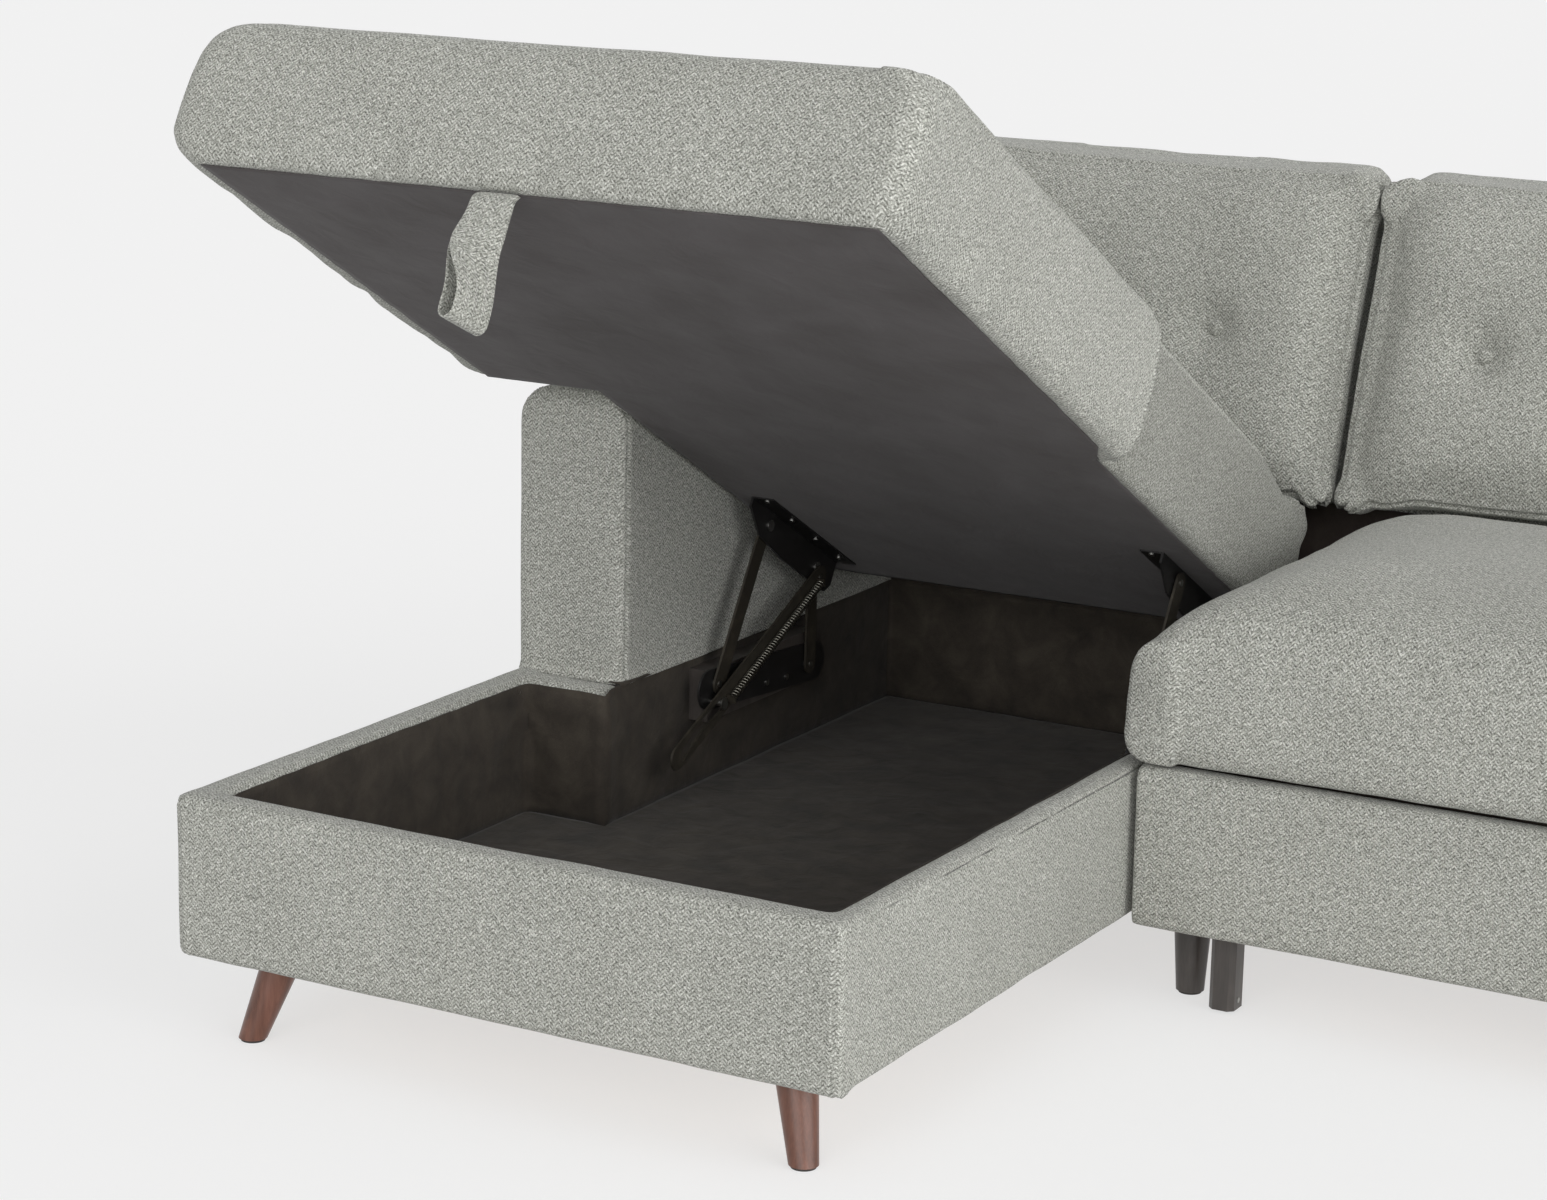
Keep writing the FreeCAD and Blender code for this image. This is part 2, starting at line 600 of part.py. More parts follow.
def pull_out():
    """The pull-out bed section: upholstered panel, tray, platform, cushion, posts and rollers."""
    x0 = SEAT_LEFT + PANEL_SIDE_GAP - MODULE_GAP
    x1 = SEAT_RIGHT - PANEL_SIDE_GAP
    base = BOX_BASE - PANEL_DROP
    top = DECK_TOP - PANEL_TOP_GAP
    cover = block(x0, x1, CHAISE_PROJECTION, PANEL_REAR, base, top)
    cover = soften(cover, WALL_EDGE_RADIUS, Vector(1, 0, 0), lambda point: point.y < PANEL_REAR - 1)
    board = block(x0 + PADDING, x1 - PADDING, PANEL_REAR - WALL_BOARD, PANEL_REAR, base + PADDING, top - PADDING)
    add("pullout_front_cover", cover.cut(board))
    add("pullout_front_board", board)

    right = 2 * SEAT_MIDDLE - TRAY_LEFT
    inner_left = TRAY_LEFT + TRAY_BOARD
    inner_right = right - TRAY_BOARD
    tray_top = TRAY_BASE + TRAY_HEIGHT
    sheet_top = TRAY_BASE + PLATFORM
    rear_y = TRAY_REAR - TRAY_BOARD
    tray = [
        block(TRAY_LEFT, inner_left, PANEL_REAR, TRAY_REAR, TRAY_BASE, tray_top),
        block(inner_right, right, PANEL_REAR, TRAY_REAR, TRAY_BASE, tray_top),
        block(inner_left, inner_right, rear_y, TRAY_REAR, TRAY_BASE, tray_top),
        block(inner_left, inner_right, PANEL_REAR, rear_y, TRAY_BASE, sheet_top),
    ]
    add("pullout_tray", tray)

    platform_base = TRAY_BASE + PLATFORM_LIFT
    platform_top = platform_base + PLATFORM
    left = inner_left + PLATFORM_SIDE_GAP
    far = rear_y - PLATFORM_SIDE_GAP
    near = PANEL_REAR + PLATFORM_SIDE_GAP
    platform = [block(left, 2 * SEAT_MIDDLE - left, near, far, platform_base, platform_top)]
    for share in BEARER_SHARES:
        y = near + share * (far - near)
        platform.append(block(left, 2 * SEAT_MIDDLE - left, y, y + BEARER_WIDTH, sheet_top, platform_base))
    add("bed_platform", platform)
    corners = rectangle(left, 2 * SEAT_MIDDLE - left, near, far)
    levels = [(0, 6), (10, 1), (30, 0), (60, 0), (76, 5), (86, 18), (BED_CUSHION, 60)]
    add("bed_cushion", pad(corners, [30.0] * 4, levels, 3.0, lambda x, y, z: Vector(x, y, platform_top + z)))

    arms_found = []
    pivot_z = platform_base + 0.5 * PLATFORM
    for share in FOLDING_ARM_SHARES:
        y = PANEL_REAR + FOLDING_ARM_LENGTH + share * (TRAY_REAR - PANEL_REAR - FOLDING_ARM_LENGTH)
        bar = block(inner_left, inner_left + STEEL, y - FOLDING_ARM_LENGTH, y, pivot_z, pivot_z + FOLDING_ARM)
        bar = soften(bar, 0.4 * FOLDING_ARM, Vector(1, 0, 0))
        arms_found += [bar, mirrored_seat(bar)]
    add("folding_arms", arms_found)

    left_post, left_axle, left_roller = post(TRAY_LEFT - POST_WIDTH)
    add("pullout_posts", [left_post, mirrored_seat(left_post)])
    add("front_rollers", [left_roller, mirrored_seat(left_roller)])
    rear_y = TRAY_REAR - REAR_ROLLER_RADIUS
    rear_z = BOX_BASE + RUNNER_THICKNESS + REAR_ROLLER_RADIUS
    rear_x = TRAY_LEFT - 4.0 - 0.5 * ROLLER_WIDTH
    rear_roller = roller(rear_x, rear_y, rear_z, REAR_ROLLER_RADIUS)
    add("rear_rollers", [rear_roller, mirrored_seat(rear_roller)])
    rear_axle = rod_x(rear_x - 0.5 * ROLLER_WIDTH - 1.0, TRAY_LEFT, rear_y, rear_z, AXLE_RADIUS)
    add("roller_axles", [left_axle, mirrored_seat(left_axle), rear_axle, mirrored_seat(rear_axle)])


def splayed_leg(x, y, side, depth):
    """A tapered leg leaning outwards; side and depth are the directions it leans in."""
    foot = Part.makeCircle(LEG_FOOT_RADIUS, Vector(x, y, GLIDE_THICKNESS))
    head_centre = Vector(x - side * LEG_SPLAY, y - depth * LEG_SPLAY, BOX_BASE - LEG_PLATE)
    head = Part.makeCircle(LEG_TOP_RADIUS, head_centre)
    return Part.makeLoft([Part.Wire([foot]), Part.Wire([head])], True, True), head_centre


def straight_leg(x, y):
    """A tapered upright leg."""
    height = BOX_BASE - LEG_PLATE - GLIDE_THICKNESS
    base = Vector(x, y, GLIDE_THICKNESS)
    return Part.makeCone(BLACK_LEG_FOOT_RADIUS, BLACK_LEG_TOP_RADIUS, height, base)


def legs():
    """Five splayed corner legs, three upright ones where the modules meet, plates and glides."""
    left = LEG_INSET_SIDE
    right = OVERALL_WIDTH - LEG_INSET_SIDE
    front = LEG_INSET_FRONT
    rear = OVERALL_DEPTH - LEG_INSET_FRONT
    corner_feet = [
        (left, front, -1, -1),
        (CHAISE_WIDTH - LEG_INSET_SIDE, front, 1, -1),
        (left, rear, -1, 1),
        (right, rear, 1, 1),
        (right, ARM_FRONT + LEG_INSET_FRONT, 1, -1),
    ]
    upright_feet = [
        (SEAT_LEFT + 46.0, DECK_FRONT + 38.0),
        (SEAT_LEFT + 46.0, rear - LEG_SPLAY),
        (CHAISE_WIDTH - LEG_INSET_SIDE, rear - LEG_SPLAY),
    ]
    walnut = []
    heads = []
    for foot in corner_feet:
        leg, head = splayed_leg(*foot)
        walnut.append(leg)
        heads.append(head)
    black = [straight_leg(x, y) for x, y in upright_feet]
    heads += [Vector(x, y, BOX_BASE - LEG_PLATE) for x, y in upright_feet]
    add("walnut_legs", walnut)
    add("black_legs", black)
    half = 0.5 * LEG_PLATE_WIDTH
    plates = []
    for head in heads:
        plates.append(block(head.x - half, head.x + half, head.y - half, head.y + half, head.z, BOX_BASE))
    add("leg_plates", plates)
    feet = [(x, y) for x, y, side, depth in corner_feet] + upright_feet
    glides = []
    for x, y in feet:
        glides.append(Part.makeCylinder(GLIDE_RADIUS, GLIDE_THICKNESS, Vector(x, y, 0)))
    add("leg_glides", glides)

    top = BOX_BASE + FLOOR_BATTEN
    reach = CORNER_BLOCK
    blocks = [
        block(LEFT_WALL, LEFT_WALL + reach, FRONT_WALL, FRONT_WALL + reach, BOX_BASE, top),
        block(INNER_RIGHT - reach, INNER_RIGHT, FRONT_WALL, FRONT_WALL + reach, BOX_BASE, top),
    ]
    add("corner_blocks", blocks)


def lid_outline():
    """The lid's outline shut: full width in front of the arm, narrower behind it."""
    y0 = LID_FRONT
    y1 = LID_FRONT + LID_LENGTH
    notch = LID_FRONT + LID_NOTCH_LENGTH
    step = LID_FRONT + LID_WIDE_LENGTH
    return [
        (0, y0), (CHAISE_WIDTH, y0), (CHAISE_WIDTH, step), (LID_NARROW_RIGHT, step),
        (LID_NARROW_RIGHT, y1), (LID_NARROW_LEFT, y1), (LID_NARROW_LEFT, notch), (0, notch),
    ]


def on_lid(x, y, z):
    """A point at height z over the lid's lower face, shut."""
    return Vector(x, y, LID_BASE + z)


def opened(shape):
    """The shape moved with the lid to the rest pose."""
    moved = shape.copy()
    moved.rotate(Vector(0, LID_FRONT, LID_BASE), Vector(-1, 0, 0), LID_OPEN_ANGLE)
    moved.translate(Vector(0, LID_OPEN_Y - LID_FRONT, LID_OPEN_Z - LID_BASE))
    return moved


def add_open(name, solids):
    """Keep a node that rides on the lid."""
    group = solids if isinstance(solids, list) else [solids]
    add(name, [opened(shape) for shape in group])


def lid_slab(inset, z0, z1):
    """A flat sheet of the lid's outline between two heights."""
    points = [on_lid(point.x, point.y, z0) for point in inset_outline(lid_outline(), inset)]
    return Part.Face(Part.makePolygon(points + points[:1])).extrude(Vector(0, 0, z1 - z0))


def lid():
    """The lift-up seat: its foam blocks, plywood panel, dust cover and pull strap."""
    outline = lid_outline()
    radii = [LID_CORNER, LID_CORNER, 9.0, 7.0, LID_CORNER, LID_CORNER, 12.0, LID_CORNER]
    swells = [SWELL_FRONT, SWELL_RIGHT, 0.0, SWELL_NARROW, 0.0, SWELL_ARM_SIDE, 0.0, SWELL_LEFT]
    top = LID_THICKNESS
    levels = [
        (0, 11, 0), (6, 5, 0.35), (16, 1, 0.7), (32, 0, 0.95), (60, 0, 1), (95, 0, 0.98),
        (122, 2, 0.92), (140, 7, 0.84), (153, 16, 0.72), (163, 32, 0.55), (170, 62, 0.3), (top, 120, 0),
    ]
    wires = []
    for height, inset, share in levels:
        corners = inset_outline(outline, [inset - share * swell for swell in swells])
        wires.append(soft_wire(corners, radii, 0.0, lambda point, z=height: on_lid(point.x, point.y, z)))
    body = Part.makeLoft(wires, True, True)
    end = LID_FRONT + LID_LENGTH
    falling = side_prism([
        (end - 190, LID_BASE + top + 5), (end - 190, LID_BASE + top),
        (end - 80, LID_BASE + top - 14), (end - 26, LID_BASE + top - 38),
        (end + 5, LID_BASE + top - 70), (end + 5, LID_BASE + top + 5),
    ], -SWELL_LEFT - 10, CHAISE_WIDTH + SWELL_RIGHT + 10)
    body = body.cut(falling)
    sheet = lid_slab(LID_LIP, 0, DUST_COVER)
    panel = lid_slab(LID_LIP, DUST_COVER, DUST_COVER + LID_PANEL)
    body = body.cut(panel).cut(sheet)
    notch = LID_FRONT + LID_NOTCH_LENGTH
    step = LID_FRONT + LID_WIDE_LENGTH
    bands = []
    for y0, y1 in ((-LID_LENGTH, notch), (notch, step), (step, OVERALL_DEPTH)):
        bands.append(body.common(block(-CHAISE_WIDTH, OVERALL_WIDTH, y0, y1, LID_BASE - top, LID_BASE + 2 * top)))
    add_open("lid_cushion_front", bands[:2])
    add_open("lid_cushion_rear", bands[2])
    add_open("lid_panel", panel)
    add_open("lid_dust_cover", sheet)
    add_open("pull_strap", pull_strap().cut(body))


def pull_strap():
    """A folded fabric band sewn to the front face of the lid, straight down from it, thicker at its fold."""
    x0 = STRAP_FROM_LEFT
    back = LID_FRONT - STRAP_FORWARD
    radius = 0.5 * STRAP_FOLD
    fold_z = LID_BASE - STRAP_LENGTH + radius
    near = Vector(x0, back - STRAP_FOLD, fold_z)
    low = Vector(x0, back - radius, fold_z - radius)
    far = Vector(x0, back, fold_z)
    back_top = Vector(x0, back, LID_BASE + STRAP_SEWN)
    front_top = Vector(x0, back - 2 * STRAP_THICKNESS, LID_BASE + STRAP_SEWN)
    edges = [
        Part.LineSegment(front_top, near).toShape(),
        Part.Arc(near, low, far).toShape(),
        Part.LineSegment(far, back_top).toShape(),
        Part.LineSegment(back_top, front_top).toShape(),
    ]
    return Part.Face(Part.Wire(edges)).extrude(Vector(STRAP_WIDTH, 0, 0))


def lid_pivot(along, down):
    """A pivot under the lid, shut and open, as two Y and Z pairs."""
    shut = (LID_FRONT + along, LID_BASE - down)
    open_y = LID_OPEN_Y + along * math.cos(OPEN_TURN) - down * math.sin(OPEN_TURN)
    open_z = LID_OPEN_Z - along * math.sin(OPEN_TURN) - down * math.cos(OPEN_TURN)
    return shut, (open_y, open_z)


def base_pivot(shut, open_, reach):
    """The fixed pivot that is as far from the lid pivot shut as open, reach below their middle."""
    middle = (0.5 * (shut[0] + open_[0]), 0.5 * (shut[1] + open_[1]))
    chord = (open_[0] - shut[0], open_[1] - shut[1])
    length = math.hypot(*chord)
    across = (chord[1] / length, -chord[0] / length)
    return (middle[0] - across[0] * reach, middle[1] - across[1] * reach)


def rise(base, shut, open_):
    """How far the line from base to a lid pivot turns upwards from shut to open, in degrees."""
    start = math.atan2(shut[1] - base[1], shut[0] - base[0])
    end = math.atan2(open_[1] - base[1], open_[0] - base[0])
    return math.degrees(end - start)


def between(start, end, distance):
    """The point at a distance from start towards end, as Y and Z."""
    length = math.hypot(end[0] - start[0], end[1] - start[1])
    share = distance / length
    return (start[0] + (end[0] - start[0]) * share, start[1] + (end[1] - start[1]) * share)


def flat_link(x0, start, end, width, thickness=STEEL):
    """A flat bar with round ends between two points given as Y and Z."""
    along = Vector(0, end[0] - start[0], end[1] - start[1]).normalize()
    across = Vector(0, -along.z, along.y) * (0.5 * width)
    a = Vector(x0, start[0], start[1])
    b = Vector(x0, end[0], end[1])
    cap = along * (0.5 * width)
    edges = [
        Part.LineSegment(a + across, b + across).toShape(),
        Part.Arc(b + across, b + cap, b - across).toShape(),
        Part.LineSegment(b - across, a - across).toShape(),
        Part.Arc(a - across, a - cap, a + across).toShape(),
    ]
    return Part.Face(Part.Wire(edges)).extrude(Vector(thickness, 0, 0))


def biarc(start, start_tangent, end, end_tangent):
    """Two arcs from start to end that meet both tangents and each other smoothly."""
    span = end - start
    total = start_tangent + end_tangent
    a = 2.0 * (1.0 - start_tangent.dot(end_tangent))
    b = 2.0 * span.dot(total)
    c = span.dot(span)
    d = (-b + math.sqrt(b * b + 4.0 * a * c)) / (2.0 * a)
    first = start + start_tangent * d
    second = end - end_tangent * d
    joint = (first + second) * 0.5
    edges = []
    for near, control, far in ((start, first, joint), (joint, second, end)):
        chord_middle = (near + far) * 0.5
        half_chord = (near - chord_middle).Length
        height = (control - chord_middle).Length
        radius = half_chord * d / height
        rise = radius - math.sqrt(max(radius * radius - half_chord * half_chord, 0.0))
        top = chord_middle + (control - chord_middle) * (rise / height)
        edges.append(Part.Arc(near, top, far).toShape())
    return edges


def coil_spring(x, start, end):
    """One unbroken wire from start to end: a straight lead, the turns and a straight lead."""
    a = Vector(x, start[0], start[1])
    b = Vector(x, end[0], end[1])
    axis = (b - a).normalize()
    side = Vector(1, 0, 0)
    other = axis.cross(side)
    coil_start = a + axis * SPRING_LEAD
    length = (b - a).Length - 2 * SPRING_LEAD
    pitch = length / SPRING_TURNS

    def point(turn):
        angle = 2 * math.pi * turn
        ring = side * math.cos(angle) + other * math.sin(angle)
        return coil_start + axis * (pitch * turn) + ring * SPRING_RADIUS

    def tangent(turn):
        angle = 2 * math.pi * turn
        ring = other * math.cos(angle) - side * math.sin(angle)
        return (ring * (2 * math.pi * SPRING_RADIUS) + axis * pitch).normalize()

    edges = []
    for half in range(2 * SPRING_TURNS):
        edges += biarc(point(0.5 * half), tangent(0.5 * half), point(0.5 * half + 0.5), tangent(0.5 * half + 0.5))
    path = Part.Wire(edges)
    section = Part.Wire([Part.makeCircle(SPRING_WIRE, point(0), tangent(0))])
    wire = path.makePipeShell([section], True, False)
    steps = 24
    samples = [point(index / steps) for index in range(3 * steps)]
    gap = min((samples[0] - sample).Length for sample in samples[steps // 2:]) - 2 * SPRING_WIRE
    print("spring: pitch %.2f mm, least gap to itself %.2f mm" % (pitch, gap))
    return wire


def curved_slot(x0, start, end, bow, width):
    """The cutter for a slot between two Y and Z points whose middle is bowed upwards."""
    a = Vector(x0 - 1, start[0], start[1])
    b = Vector(x0 - 1, end[0], end[1])
    along = (b - a).normalize()
    upwards = Vector(0, -along.z, along.y)
    if upwards.z < 0:
        upwards = upwards * -1
    half_chord = 0.5 * (b - a).Length
    radius = 0.5 * (half_chord ** 2 / bow + bow)
    centre = (a + b) * 0.5 - upwards * (radius - bow)
    half = 0.5 * width

    def ring(point, offset):
        return centre + (point - centre) * ((radius + offset) / radius)

    top = centre + upwards * radius
    turn = (b - centre).cross(Vector(1, 0, 0)).normalize()
    b_cap = b + turn * (half if turn.dot(along) > 0 else -half)
    turn = (a - centre).cross(Vector(1, 0, 0)).normalize()
    a_cap = a + turn * (half if turn.dot(along) < 0 else -half)
    edges = [
        Part.Arc(ring(a, half), ring(top, half), ring(b, half)).toShape(),
        Part.Arc(ring(b, half), b_cap, ring(b, -half)).toShape(),
        Part.Arc(ring(b, -half), ring(top, -half), ring(a, -half)).toShape(),
        Part.Arc(ring(a, -half), a_cap, ring(a, half)).toShape(),
    ]
    return Part.Face(Part.Wire(edges)).extrude(Vector(STEEL + 2, 0, 0))


def spring_lug(x0, x1, start, end, distance):
    """A small tab standing off the stay for a spring end, centred at a distance along it."""
    direction = math.degrees(math.atan2(end[1] - start[1], end[0] - start[0]))
    y, z = between(start, end, distance)
    half = SPRING_RADIUS + SPRING_WIRE
    tab = block(x0, x1, y - 0.5 * SPRING_LUG, y + 0.5 * SPRING_LUG, z - half, z + half)
    tab.rotate(Vector(x0, y, z), Vector(1, 0, 0), direction)
    return tab


def lift_hardware():
    """Brackets, links, stays and springs of both sides; returns the pivots and the turns."""
    wall = INNER_LEFT + LINING
    mirror = 0.5 * (INNER_LEFT + INNER_RIGHT)
    plate_x = wall + BRACKET_BLOCK
    link_x = plate_x + STEEL + LAYER_GAP
    flange_x = link_x + STEEL + LAYER_GAP
    stay_x = flange_x + STEEL + LAYER_GAP
    spring_x = stay_x + STEEL + SPRING_GAP + SPRING_RADIUS + SPRING_WIRE

    front_shut, front_open = lid_pivot(LID_LENGTH - FRONT_PIVOT_BACK, FRONT_PIVOT_DOWN)
    rear_shut, rear_open = lid_pivot(LID_LENGTH - REAR_PIVOT_BACK, REAR_PIVOT_DOWN)
    stay_shut, stay_open = lid_pivot(LID_LENGTH - STAY_PIVOT_BACK, STAY_PIVOT_DOWN)
    front_base = base_pivot(front_shut, front_open, FRONT_LINK_REACH)
    rear_base = base_pivot(rear_shut, rear_open, REAR_LINK_REACH)
    slope = math.radians(STAY_SLOPE)
    stay_base = (stay_open[0] - STAY_REACH * math.cos(slope), stay_open[1] - STAY_REACH * math.sin(slope))

    plate_start = (front_base[0] - 15, front_base[1] - 5)
    plate_end = (rear_base[0] + 20, rear_base[1])
    plate = flat_link(plate_x, plate_start, plate_end, BASE_PLATE_WIDTH)
    add("base_brackets", [plate, mirrored(plate, mirror)])
    middle_z = 0.5 * (plate_start[1] + plate_end[1])
    backing = block(wall, plate_x, plate_start[0], plate_end[0],
                    middle_z - 0.5 * BLOCK_HEIGHT, middle_z + 0.5 * BLOCK_HEIGHT)
    add("bracket_blocks", [backing, mirrored(backing, mirror)])

    face = plate_x + STEEL
    pins = []
    for centre, end in ((front_base, link_x + STEEL + 1.0), (rear_base, link_x + STEEL + 1.0)):
        pin = rod_x(face, end, *centre, PIN_RADIUS)
        pins.append(pin.fuse(rod_x(face, face + WASHER, *centre, WASHER_RADIUS)).removeSplitter())
    stay_end_x = stay_x + STEEL + SPRING_GAP
    stay_pin = rod_x(face, stay_end_x + WASHER, *stay_base, PIN_RADIUS)
    head = rod_x(stay_end_x, stay_end_x + WASHER, *stay_base, WASHER_RADIUS)
    pins.append(stay_pin.fuse(head).removeSplitter())
    for distance in (75.0, 140.0, 190.0):
        y, z = between(plate_start, plate_end, distance)
        pins.append(rod_x(face, face + SCREW_HEAD, y, z - 11.0, SCREW_RADIUS))
    lining_screw = rod_x(LEFT_WALL + LINING, LEFT_WALL + LINING + SCREW_HEAD,
                         ARM_FRONT - RETURN_WALL - 14.0, BOX_TOP - 16.0, SCREW_RADIUS)
    add("base_fasteners", pins + [mirrored(pin, mirror) for pin in pins] + [lining_screw])

    hole = PIN_RADIUS + PIN_CLEARANCE
    front_link = flat_link(link_x, front_base, front_open, LINK_WIDTH)
    for centre in (front_base, front_open):
        front_link = front_link.cut(rod_x(link_x - 1, link_x + STEEL + 1, *centre, hole))
    add("left_front_link", front_link)
    add("right_front_link", mirrored(front_link, mirror))
    rear_link = flat_link(link_x, rear_base, rear_open, LINK_WIDTH)
    rear_link = rear_link.cut(rod_x(link_x - 1, link_x + STEEL + 1, *rear_base, hole))
    add("left_rear_link", rear_link)
    add("right_rear_link", mirrored(rear_link, mirror))

    far = math.hypot(stay_shut[0] - stay_base[0], stay_shut[1] - stay_base[1])
    stay_tip = between(stay_open, stay_base, far + STAY_SLOT_MARGIN)
    stay = flat_link(stay_x, stay_open, (stay_tip[0], stay_tip[1] + 0.6 * STAY_SLOT_BOW), STAY_WIDTH)
    slot_end = between(stay_open, stay_base, far)
    slot = curved_slot(stay_x, stay_base, slot_end, STAY_SLOT_BOW, 2 * (PIN_RADIUS + STAY_SLOT_PLAY))
    stay = stay.cut(slot).cut(rod_x(stay_x - 1, stay_x + STEEL + 1, *stay_open, hole))
    lug_end = spring_x + SPRING_RADIUS + SPRING_WIRE
    for distance in (SPRING_LEAD - SPRING_LUG, STAY_REACH - SPRING_LEAD + SPRING_LUG):
        stay = stay.fuse(spring_lug(stay_x + STEEL, lug_end, stay_open, stay_base, distance))
    stay = stay.removeSplitter()
    add("left_stay", stay)
    add("right_stay", mirrored(stay, mirror))
    spring = coil_spring(spring_x, stay_open, stay_base)
    add("left_spring", spring)
    add("right_spring", mirrored(spring, mirror))

    lid_rear = LID_FRONT + LID_LENGTH
    plate_y0 = lid_rear - BRACKET_FROM
    plate_y1 = lid_rear - BRACKET_TO
    low = LID_BASE - BRACKET_DROP
    upright = side_prism([
        (plate_y0, LID_BASE), (plate_y0, LID_BASE - 0.3 * BRACKET_DROP), (plate_y0 + 38, low + 8),
        (plate_y0 + 110, low), (plate_y1 - 12, low), (plate_y1, low + 12), (plate_y1, LID_BASE),
    ], flange_x, flange_x + STEEL)
    sole = block(flange_x, flange_x + BRACKET_FLANGE, plate_y0, plate_y1, LID_BASE - STEEL, LID_BASE)
    upper = upright.fuse(sole).removeSplitter()
    add_open("upper_brackets", [upper, mirrored(upper, mirror)])
    fasteners = [
        rod_x(link_x - 1.0, flange_x, *front_shut, PIN_RADIUS),
        rod_x(flange_x + STEEL, flange_x + STEEL + WASHER, *front_shut, WASHER_RADIUS - 1.0),
        rod_x(flange_x + STEEL, flange_x + STEEL + WASHER, *rear_shut, WASHER_RADIUS - 1.0),
        rod_x(flange_x + STEEL, stay_x + STEEL + SPRING_GAP, *stay_shut, PIN_RADIUS),
    ]
    for index in range(BRACKET_SCREWS):
        y = lid_rear - BRACKET_SCREW_FROM + index * BRACKET_SCREW_PITCH
        centre = Vector(flange_x + 0.6 * BRACKET_FLANGE, y, LID_BASE - STEEL - SCREW_HEAD)
        fasteners.append(Part.makeCylinder(SCREW_RADIUS, SCREW_HEAD, centre))
    add_open("upper_fasteners", fasteners + [mirrored(part, mirror) for part in fasteners])

    front_turn = rise(front_base, front_shut, front_open)
    rear_turn = rise(rear_base, rear_shut, rear_open)
    stay_turn = rise(stay_base, stay_shut, stay_open) + LID_OPEN_ANGLE
    pivots = {
        "front base pivot": front_base,
        "front lid pivot": front_open,
        "rear base pivot": rear_base,
        "stay lid pivot": stay_open,
    }
    return pivots, (front_turn, LID_OPEN_ANGLE + front_turn, rear_turn, stay_turn)


def main():
    """Build every piece, move the origin to the middle of the footprint and write the files."""
    chaise_box()
    arms()
    backrest()
    back_cushions()
    seat()
    pull_out()
    legs()
    lid()
    pivots, turns = lift_hardware()

    everything = Part.makeCompound([solid for solids in nodes.values() for solid in solids])
    box = everything.BoundBox
    shift = Vector(-0.5 * (box.XMin + box.XMax), -0.5 * (box.YMin + box.YMax), 0)
    os.makedirs("parts", exist_ok=True)
    for name, solids in nodes.items():
        shape = solids[0] if len(solids) == 1 else Part.makeCompound(solids)
        shape.translate(shift)
        shape.exportStep(os.path.join("parts", name + ".step"))
    print("nodes %d, box %.1f x %.1f x %.1f mm" % (len(nodes), box.XLength, box.YLength, box.ZLength))
    print("shift %.3f %.3f" % (shift.x, shift.y))
    for name, value in pivots.items():
        print(name, "y %.3f z %.3f" % (value[0] + shift.y, value[1]))
    print("turns front link %.4f, lid on link %.4f, rear link %.4f, stay on lid %.4f degrees" % turns)


main()
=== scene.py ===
import json
import math

import bmesh
import bpy
import numpy as np
from mathutils import Matrix, Vector, noise

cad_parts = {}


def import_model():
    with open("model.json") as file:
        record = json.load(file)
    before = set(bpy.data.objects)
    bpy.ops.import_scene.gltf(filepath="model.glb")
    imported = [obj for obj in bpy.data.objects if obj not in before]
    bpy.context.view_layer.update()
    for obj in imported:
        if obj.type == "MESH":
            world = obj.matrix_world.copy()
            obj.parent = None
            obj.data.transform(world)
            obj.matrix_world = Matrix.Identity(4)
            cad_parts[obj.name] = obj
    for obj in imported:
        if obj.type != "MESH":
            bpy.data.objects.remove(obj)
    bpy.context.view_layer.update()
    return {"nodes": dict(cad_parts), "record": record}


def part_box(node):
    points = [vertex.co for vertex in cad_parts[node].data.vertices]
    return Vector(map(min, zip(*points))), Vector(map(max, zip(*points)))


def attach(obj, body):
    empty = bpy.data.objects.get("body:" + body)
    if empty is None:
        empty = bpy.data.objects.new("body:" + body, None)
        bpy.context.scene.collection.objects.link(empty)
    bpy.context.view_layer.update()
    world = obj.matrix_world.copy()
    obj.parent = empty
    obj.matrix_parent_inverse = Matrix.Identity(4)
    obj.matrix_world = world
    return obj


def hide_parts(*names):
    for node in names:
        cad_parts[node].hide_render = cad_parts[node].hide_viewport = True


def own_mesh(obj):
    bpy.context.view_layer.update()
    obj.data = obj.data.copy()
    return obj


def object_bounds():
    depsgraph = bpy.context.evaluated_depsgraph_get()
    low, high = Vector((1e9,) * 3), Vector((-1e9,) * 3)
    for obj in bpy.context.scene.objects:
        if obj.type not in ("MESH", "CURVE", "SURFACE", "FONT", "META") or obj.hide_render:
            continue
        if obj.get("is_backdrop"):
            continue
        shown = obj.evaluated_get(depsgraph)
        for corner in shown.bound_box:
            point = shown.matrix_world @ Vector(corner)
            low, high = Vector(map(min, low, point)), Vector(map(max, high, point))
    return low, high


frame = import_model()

# The CAD box, and the corner that the sofa's sizes are measured from: the chaise's front left corner.
NODES = frame["nodes"]
ORIGIN = Vector((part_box("chaise_left_cover")[0].x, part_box("chaise_front_cover")[0].y, 0.0))

